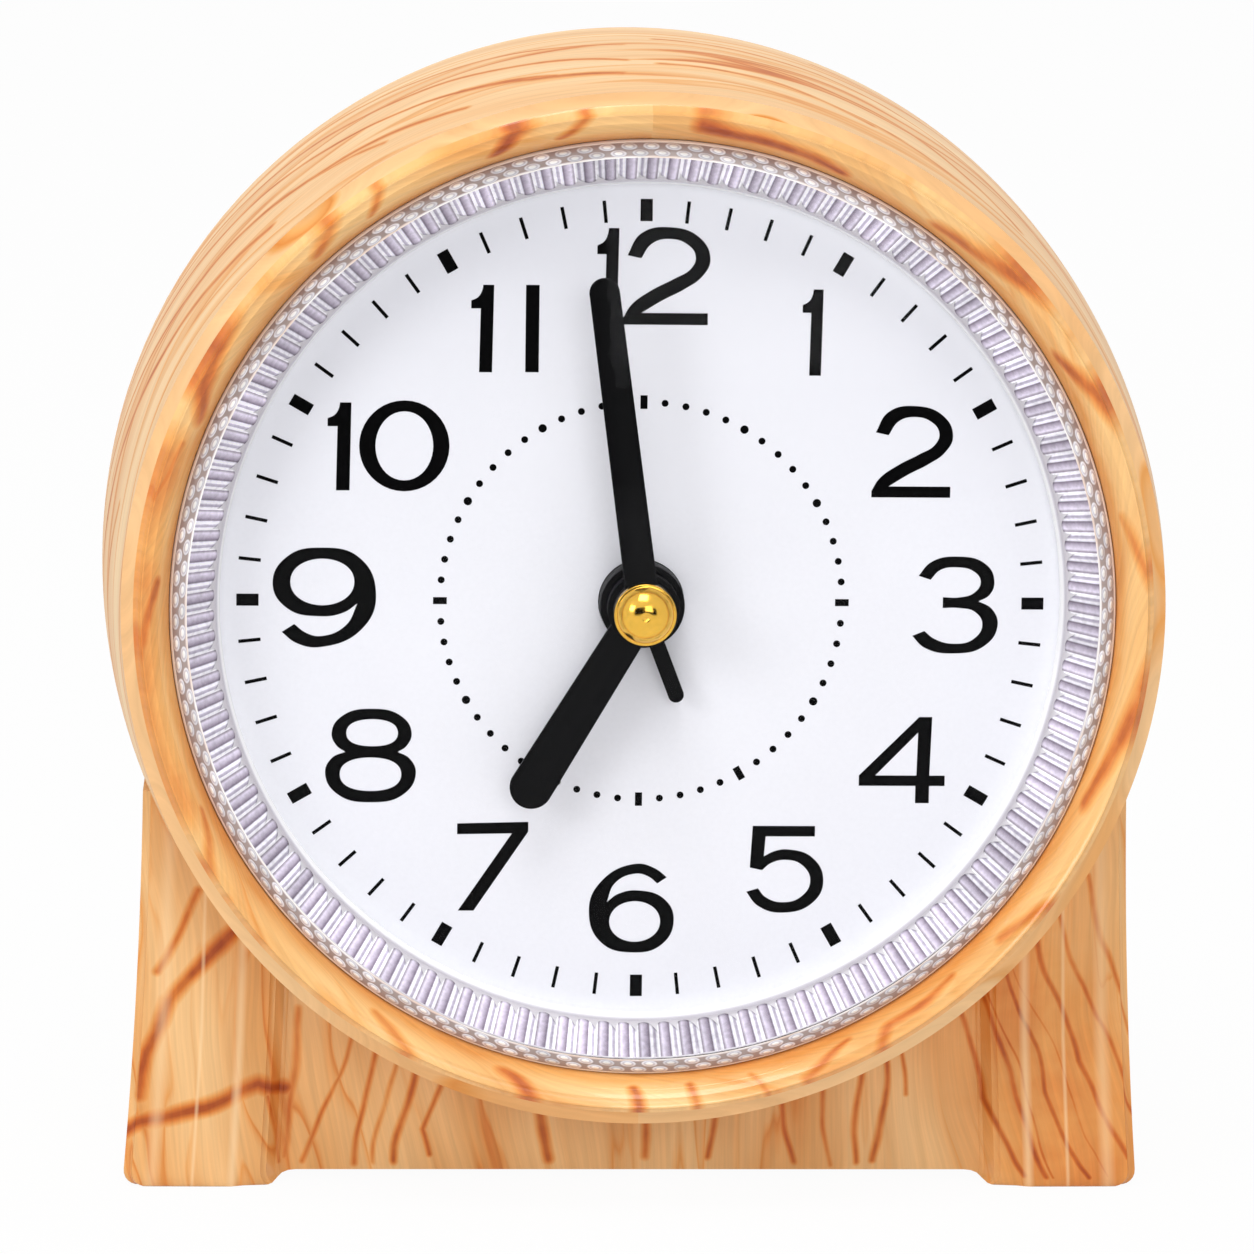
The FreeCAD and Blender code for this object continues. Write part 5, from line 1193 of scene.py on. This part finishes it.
# Outlines of the numerals in a box of 100 by 100; the third value is 1 at a corner.
NUMERALS: dict[str, Glyph] = {
    "1": [[(52, 100, 1), (100, 100, 1), (94, 0, 1), (37, 0, 1), (42, 73, 1), (0, 73, 1), (0, 82, 1),
           (30, 86, 0), (48, 94, 0)]],
    "2": [[(4, 71, 1), (19, 93, 0), (51, 100, 0), (88, 89, 0), (100, 67, 0), (91, 50, 0), (71, 37, 0),
           (45, 25, 0), (21, 12, 1), (98, 12, 1), (98, 0, 1), (0, 0, 1), (0, 7, 1), (9, 20, 0), (32, 35, 0),
           (58, 47, 0), (78, 58, 0), (83, 70, 0), (74, 82, 0), (51, 88, 0), (32, 83, 0), (20, 68, 1)]],
    "3": [[(6, 80, 1), (20, 94, 0), (49, 100, 0), (85, 92, 0), (95, 75, 0), (90, 61, 0), (77, 54, 1),
           (93, 46, 0), (100, 29, 0), (85, 8, 0), (49, 0, 0), (14, 6, 0), (0, 18, 1), (14, 23, 1),
           (26, 15, 0), (49, 10, 0), (72, 15, 0), (82, 30, 0), (73, 43, 0), (54, 47, 0), (35, 47, 1),
           (35, 58, 1), (55, 58, 0), (72, 63, 0), (79, 74, 0), (72, 84, 0), (49, 89, 0), (31, 86, 0),
           (20, 76, 1)]],
    "4": [[(69, 100, 1), (84, 100, 1), (82, 32, 1), (100, 32, 1), (100, 20, 1), (82, 20, 1), (82, 0, 1),
           (66, 0, 1), (66, 20, 1), (0, 20, 1), (0, 32, 1)],
          [(68, 82, 1), (19, 32, 1), (67, 32, 1)]],
    "5": [[(7, 100, 1), (88, 100, 1), (88, 88, 1), (24, 88, 1), (22, 65, 1), (36, 71, 0), (53, 73, 0),
           (86, 63, 0), (100, 37, 0), (87, 12, 0), (48, 0, 0), (15, 8, 0), (0, 24, 1), (15, 28, 1),
           (25, 18, 0), (48, 12, 0), (72, 19, 0), (83, 37, 0), (72, 55, 0), (51, 61, 0), (31, 57, 0),
           (20, 49, 1), (4, 52, 1)]],
    "6": [[(91, 85, 1), (80, 78, 1), (69, 86, 0), (54, 89, 0), (30, 78, 0), (21, 57, 1), (34, 66, 0),
           (58, 70, 0), (89, 60, 0), (100, 37, 0), (86, 9, 0), (50, 0, 0), (15, 11, 0), (0, 46, 0),
           (12, 78, 0), (54, 100, 0), (77, 95, 0)],
          [(54, 12, 0), (24, 35, 0), (54, 58, 0), (84, 35, 0)]],
    "7": [[(0, 98, 1), (100, 100, 1), (100, 89, 1), (24, 0, 1), (2, 0, 1), (77, 87, 1), (0, 86, 1)]],
    "8": [[(51, 100, 0), (84, 92, 0), (95, 75, 0), (90, 61, 0), (80, 54, 1), (93, 47, 0), (100, 31, 0),
           (87, 9, 0), (51, 0, 0), (13, 9, 0), (0, 31, 0), (7, 47, 0), (22, 54, 1), (12, 61, 0), (7, 75, 0),
           (18, 92, 0)],
          [(51, 89, 0), (80, 74, 0), (51, 60, 0), (23, 74, 0)],
          [(50, 48, 0), (84, 30, 0), (50, 12, 0), (16, 30, 0)]],
    "9": [[(47, 100, 0), (84, 90, 0), (100, 54, 0), (88, 20, 0), (47, 0, 0), (23, 4, 0), (9, 15, 1),
           (21, 23, 1), (33, 14, 0), (47, 11, 0), (71, 22, 0), (82, 44, 1), (69, 35, 0), (46, 31, 0),
           (14, 39, 0), (0, 64, 0), (14, 91, 0)],
          [(48, 89, 0), (79, 66, 0), (48, 42, 0), (17, 66, 0)]],
    "0": [[(50, 100, 0), (100, 50, 0), (50, 0, 0), (0, 50, 0)],
          [(50, 88, 0), (82, 50, 0), (50, 12, 0), (18, 50, 0)]],
    "|": [[(0, 0, 1), (0, 100, 1), (100, 100, 1), (100, 0, 1)]],
}


@dataclass
class DialPrint:
    """Black print on the dial: numerals, minute track and the inner ring of dots."""

    finishes: Finishes
    lift: float = -0.02
    track: float = 37.3
    dots: float = 19.1
    # Each numeral with its box on the dial: left, right, bottom and top in millimetres.
    boxes: tuple[tuple[str, float, float, float, float], ...] = (
        ("1", 14.87, 16.81, 21.73, 29.91), ("2", 21.71, 29.36, 10.14, 18.9), ("3", 25.89, 34.02, -4.85, 4.49),
        ("4", 21.05, 29.28, -19.4, -11.03), ("5", 10.46, 17.83, -30.14, -21.67),
        ("6", -4.6, 3.54, -34.07, -25.41), ("7", -17.27, -10.49, -30.01, -21.35),
        ("8", -29.87, -21.25, -19.49, -10.45), ("9", -34.93, -25.15, -4.51, 5.02),
        ("1", -29.82, -27.59, 10.51, 18.88), ("0", -26.84, -18.32, 10.45, 19.11),
        ("1", -16.39, -14.25, 21.84, 30.12), ("|", -11.25, -9.98, 21.87, 30.14),
        ("1", -4.58, -2.54, 26.43, 35.57), ("2", -2.07, 6.07, 26.46, 35.7))

    def numeral(self, bm: bmesh.types.BMesh, glyph: Glyph, box: tuple[float, float, float, float]) -> None:
        """Add one numeral's flat outline to the print.

        Args:
            bm: Print so far.
            glyph: Outlines of the numeral.
            box: Left, right, bottom and top in millimetres.
        """
        left, right, bottom, top = box
        curve = bpy.data.curves.new("numeral", "CURVE")
        curve.dimensions = "2D"
        curve.fill_mode = "FRONT"
        curve.resolution_u = 10
        for outline in glyph:
            spline = curve.splines.new("BEZIER")
            spline.bezier_points.add(len(outline) - 1)
            spline.use_cyclic_u = True
            for point, (x, y, corner) in zip(spline.bezier_points, outline):
                point.co = (left + (right - left) * x / 100, bottom + (top - bottom) * y / 100, 0)
                point.handle_left_type = point.handle_right_type = "VECTOR" if corner else "AUTO"
        holder = linked("numeral", curve)
        bpy.context.view_layer.update()
        mesh = bpy.data.meshes.new_from_object(holder.evaluated_get(bpy.context.evaluated_depsgraph_get()))
        mesh.transform(Matrix.Rotation(math.radians(90), 4, "X"))
        bm.from_mesh(mesh)
        bpy.data.objects.remove(holder)
        bpy.data.curves.remove(curve)
        bpy.data.meshes.remove(mesh)

    def put(self, bm: bmesh.types.BMesh, verts: list[bmesh.types.BMVert], minute: int,
            radius: float) -> None:
        """Stand a flat shape up and put it on the dial.

        Args:
            bm: Print so far.
            verts: Points of the shape.
            minute: Place on the dial, counted clockwise from the top.
            radius: Distance of the shape's middle from the axis.
        """
        bmesh.ops.rotate(bm, verts=verts, matrix=Matrix.Rotation(math.radians(90), 3, "X"))
        bmesh.ops.translate(bm, verts=verts, vec=(0, 0, radius))
        bmesh.ops.rotate(bm, verts=verts, matrix=Matrix.Rotation(math.radians(6 * minute), 3, "Y"))

    def mark(self, bm: bmesh.types.BMesh, minute: int, radius: float, width: float, length: float) -> None:
        """Add a bar to the print, pointing at the hand axis.

        Args:
            bm: Print so far.
            minute: Place on the track, counted clockwise from the top.
            radius: Distance of the bar's middle from the axis.
            width: Width of the bar.
            length: Length of the bar.
        """
        bar = bmesh.ops.create_grid(bm, x_segments=1, y_segments=1, size=0.5)["verts"]
        bmesh.ops.scale(bm, verts=bar, vec=(width, length, 1))
        self.put(bm, bar, minute, radius)

    def dot(self, bm: bmesh.types.BMesh, minute: int, radius: float, size: float) -> None:
        """Add a round dot to the print.

        Args:
            bm: Print so far.
            minute: Place on the ring, counted clockwise from the top.
            radius: Distance of the dot from the axis.
            size: Diameter of the dot.
        """
        disc = bmesh.ops.create_circle(bm, cap_ends=True, segments=20, radius=size / 2)["verts"]
        self.put(bm, disc, minute, radius)

    def build(self) -> None:
        """Build the print as one thin piece just in front of the dial."""
        bm = bmesh.new()
        for sign, *box in self.boxes:
            self.numeral(bm, NUMERALS[sign], tuple(box))
        for minute in range(60):
            hour = minute % 5 == 0
            self.mark(bm, minute, self.track, 1.15 if hour else 0.33, 2.1)
            if minute in (0, 15, 25, 30, 45):
                self.mark(bm, minute, self.dots, 0.67, 1.3)
            else:
                self.dot(bm, minute, self.dots, 0.8 if hour else 0.66)
        bmesh.ops.translate(bm, verts=bm.verts, vec=(0, self.lift, 0))
        for face in bm.faces:
            face.normal_update()
            if face.normal.y > 0:
                face.normal_flip()
        printed = piece("dial_print", bm, [self.finishes.ink])
        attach(printed, "case")


# ---------------------------------------------------------------- hands and works

@dataclass
class Works:
    """Hands, cap, knobs and everything inside that keeps its CAD shape."""

    finishes: Finishes
    # CAD node, name of the softened piece, body, slot, width of its rounded edges in millimetres, and the
    # degrees clockwise that the hand is pressed on past the CAD's exact time.
    soft_nodes: tuple[tuple[str, str, str, str, float, float], ...] = (
        ("minute_hand", "minute_blade", "minute", "hand_black", 0.1, 0.0),
        ("hour_hand", "hour_blade", "hour", "hand_black", 0.1, 1.7),
        ("alarm_hand", "alarm_blade", "alarm", "hand_black", 0.1, -1.6),
        ("snooze_button", "snooze_key", "button", "button_plastic", 0.25, 0.0),
        ("alarm_switch", "alarm_slider", "switch", "black_plastic", 0.12, 0.0),
    )

    def cap(self) -> None:
        """Build the gilt cap with its rim step and centre dimple."""
        profile = [(0.0, -9.2), (0.14, -9.22), (0.26, -9.33), (0.36, -9.385)]
        profile += bow((0.42, -9.39), (2.6, -8.0), 0.34, 14)
        profile += rounded([(2.64, -7.86), (2.68, -7.82, 0.02), (2.92, -7.8, 0.1), (2.95, -7.0), (0.0, -7.0)],
                           4)
        cap = piece("gilt_dome", spun(profile, 96), [self.finishes.by_slot["cap_gold"]], 50)
        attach(cap, "seconds")
        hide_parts("centre_cap")

    def build(self) -> None:
        """Dress the CAD nodes and build the pieces that need finer edges."""
        replaced = {"front_case", "rear_cover", "battery_door", "lens", "ribbed_ring", "centre_cap"}
        for node, name, body, slot, width, past in self.soft_nodes:
            made = softened(node, name, width)
            made.data.transform(DATUM @ Matrix.Rotation(math.radians(past), 4, "Y") @ INVERSE)
            made.data.materials.append(self.finishes.by_slot[slot])
            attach(made, body)
            replaced.add(node)
        self.cap()
        for row in frame["record"]["subparts"]:
            if row["node"] in replaced:
                continue
            target = frame["nodes"][row["node"]]
            for slot in target.material_slots:
                slot.material = self.finishes.by_slot[row["material_slot"]]


# ---------------------------------------------------------------- room

@dataclass
class Room:
    """Pale floor, white surround, soft lamps and the camera."""

    turn: float = 3.1
    rise: float = 9.5
    roll: float = 0.8
    distance: float = 0.600
    lens: float = 181.5
    place_px: tuple[float, float] = (641.2, 601.6)
    frame_px: float = 1254.0
    level: float = 0.62

    def camera(self) -> None:
        """Create the camera at the photograph's angle."""
        centre = DATUM.translation
        turn, rise = math.radians(self.turn), math.radians(self.rise)
        away = Vector((-math.sin(turn) * math.cos(rise), -math.cos(turn) * math.cos(rise), math.sin(rise)))
        data = bpy.data.cameras.new("camera")
        data.lens = self.lens
        data.sensor_width = 36.0
        data.shift_x = -(self.place_px[0] - self.frame_px / 2) / self.frame_px
        data.shift_y = (self.place_px[1] - self.frame_px / 2) / self.frame_px
        data.clip_start, data.clip_end = 0.01, 50.0
        eye = linked("camera", data)
        eye.location = centre + away * self.distance
        eye.rotation_mode = "QUATERNION"
        roll = Quaternion((0, 0, 1), math.radians(self.roll))
        eye.rotation_quaternion = (-away).to_track_quat("-Z", "Y") @ roll
        bpy.context.scene.camera = eye

    def seen(self, tree: bpy.types.NodeTree) -> Source:
        """Tell the rays that look from those that light.

        Args:
            tree: Node tree that asks.

        Returns:
            1 for rays from the camera, a gloss or a clear surface, and 0 for the light's own.
        """
        path = add(tree, "LightPath")
        first = add(tree, "Math", (path.outputs["Is Camera Ray"], path.outputs["Is Glossy Ray"]),
                    operation="MAXIMUM")
        return add(tree, "Math", (first, path.outputs["Is Transmission Ray"]), operation="MAXIMUM")

    def world(self) -> None:
        """Create the surround: white to the eye and to gloss, plain light to everything else."""
        world = bpy.data.worlds.new("surround")
        world.use_nodes = True
        tree = world.node_tree
        tree.nodes.clear()
        light = add(tree, "Background", {"Color": (1, 1, 1, 1), "Strength": self.level})
        white = add(tree, "Background", {"Color": (1, 1, 1, 1), "Strength": 1.0})
        mixed = add(tree, "MixShader", (self.seen(tree), light, white))
        add(tree, "OutputWorld", {"Surface": mixed})
        bpy.context.scene.world = world

    def sheet(self, name: str, bm: bmesh.types.BMesh, material: bpy.types.Material) -> bpy.types.Object:
        """Turn a flat shape into an object of the room.

        Args:
            name: Name of the object.
            bm: Shape in metres, freed afterwards.
            material: Its material.

        Returns:
            The new object.
        """
        mesh = bpy.data.meshes.new(name)
        bm.to_mesh(mesh)
        bm.free()
        mesh.materials.append(material)
        return linked(name, mesh)

    def floor(self) -> None:
        """Create the floor, which is white to the eye and keeps a faint shadow."""
        bm = bmesh.new()
        bmesh.ops.create_grid(bm, x_segments=1, y_segments=1, size=6.0)
        material, tree = new_tree("studio_floor")
        matt = add(tree, "BsdfDiffuse", {"Color": linear("e9e9e9")})
        glow = add(tree, "Emission", {"Color": (1, 1, 1, 1), "Strength": 1.0})
        share = add(tree, "Math", (self.seen(tree), 0.96), operation="MULTIPLY")
        mixed = add(tree, "MixShader", (share, matt, glow))
        finish_tree(tree, mixed)
        plane = self.sheet("floor", bm, material)

    def dark_card(self) -> None:
        """Create the dark card behind the camera that glossy faces mirror, as in a studio."""
        bm = bmesh.new()
        bmesh.ops.create_grid(bm, x_segments=1, y_segments=1, size=1.0)
        bmesh.ops.scale(bm, verts=bm.verts, vec=(1.2, 0.55, 1))
        bmesh.ops.rotate(bm, verts=bm.verts, matrix=Matrix.Rotation(math.radians(90), 3, "X"))
        bmesh.ops.translate(bm, verts=bm.verts, vec=(0, -1.7, 0.25))
        material, tree = new_tree("studio_card")
        finish_tree(tree, add(tree, "BsdfDiffuse", {"Color": linear("1c1a19")}))
        card = self.sheet("dark_card", bm, material)
        card.visible_camera = card.visible_diffuse = card.visible_shadow = False

    def lamp(self, name: str, place: Sequence[float], size: float, power: float) -> None:
        """Create a square lamp that looks at the dial's centre.

        Args:
            name: Name of the lamp.
            place: Place in metres.
            size: Side of the lamp in metres.
            power: Power in watts.
        """
        data = bpy.data.lights.new(name, "AREA")
        data.size = size
        data.energy = power
        lamp = linked(name, data)
        lamp.location = place
        lamp.rotation_mode = "QUATERNION"
        lamp.rotation_quaternion = (DATUM.translation - Vector(place)).to_track_quat("-Z", "Y")

    def build(self) -> None:
        """Set up the room."""
        self.camera()
        self.world()
        self.floor()
        self.dark_card()
        self.lamp("softbox_top", (-0.1, -0.45, 1.0), 0.5, 4.8)
        self.lamp("softbox_left", (-0.9, -0.8, 0.5), 0.4, 2.6)
        self.lamp("softbox_front", (0.25, -1.3, 0.45), 0.5, 2.2)
        bpy.context.scene.view_settings.view_transform = "Standard"


def main() -> None:
    logging.basicConfig(level=logging.INFO, format="%(name)s: %(message)s")
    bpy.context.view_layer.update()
    Room().build()
    finishes = Finishes()
    for label, part in (("case", Case(finishes)), ("lens and ring", Glazing(finishes)),
                        ("dial print", DialPrint(finishes)), ("works", Works(finishes))):
        part.build()
        LOG.info("built %s", label)
    LOG.info("boxes written")


if __name__ == "__main__":
    main()
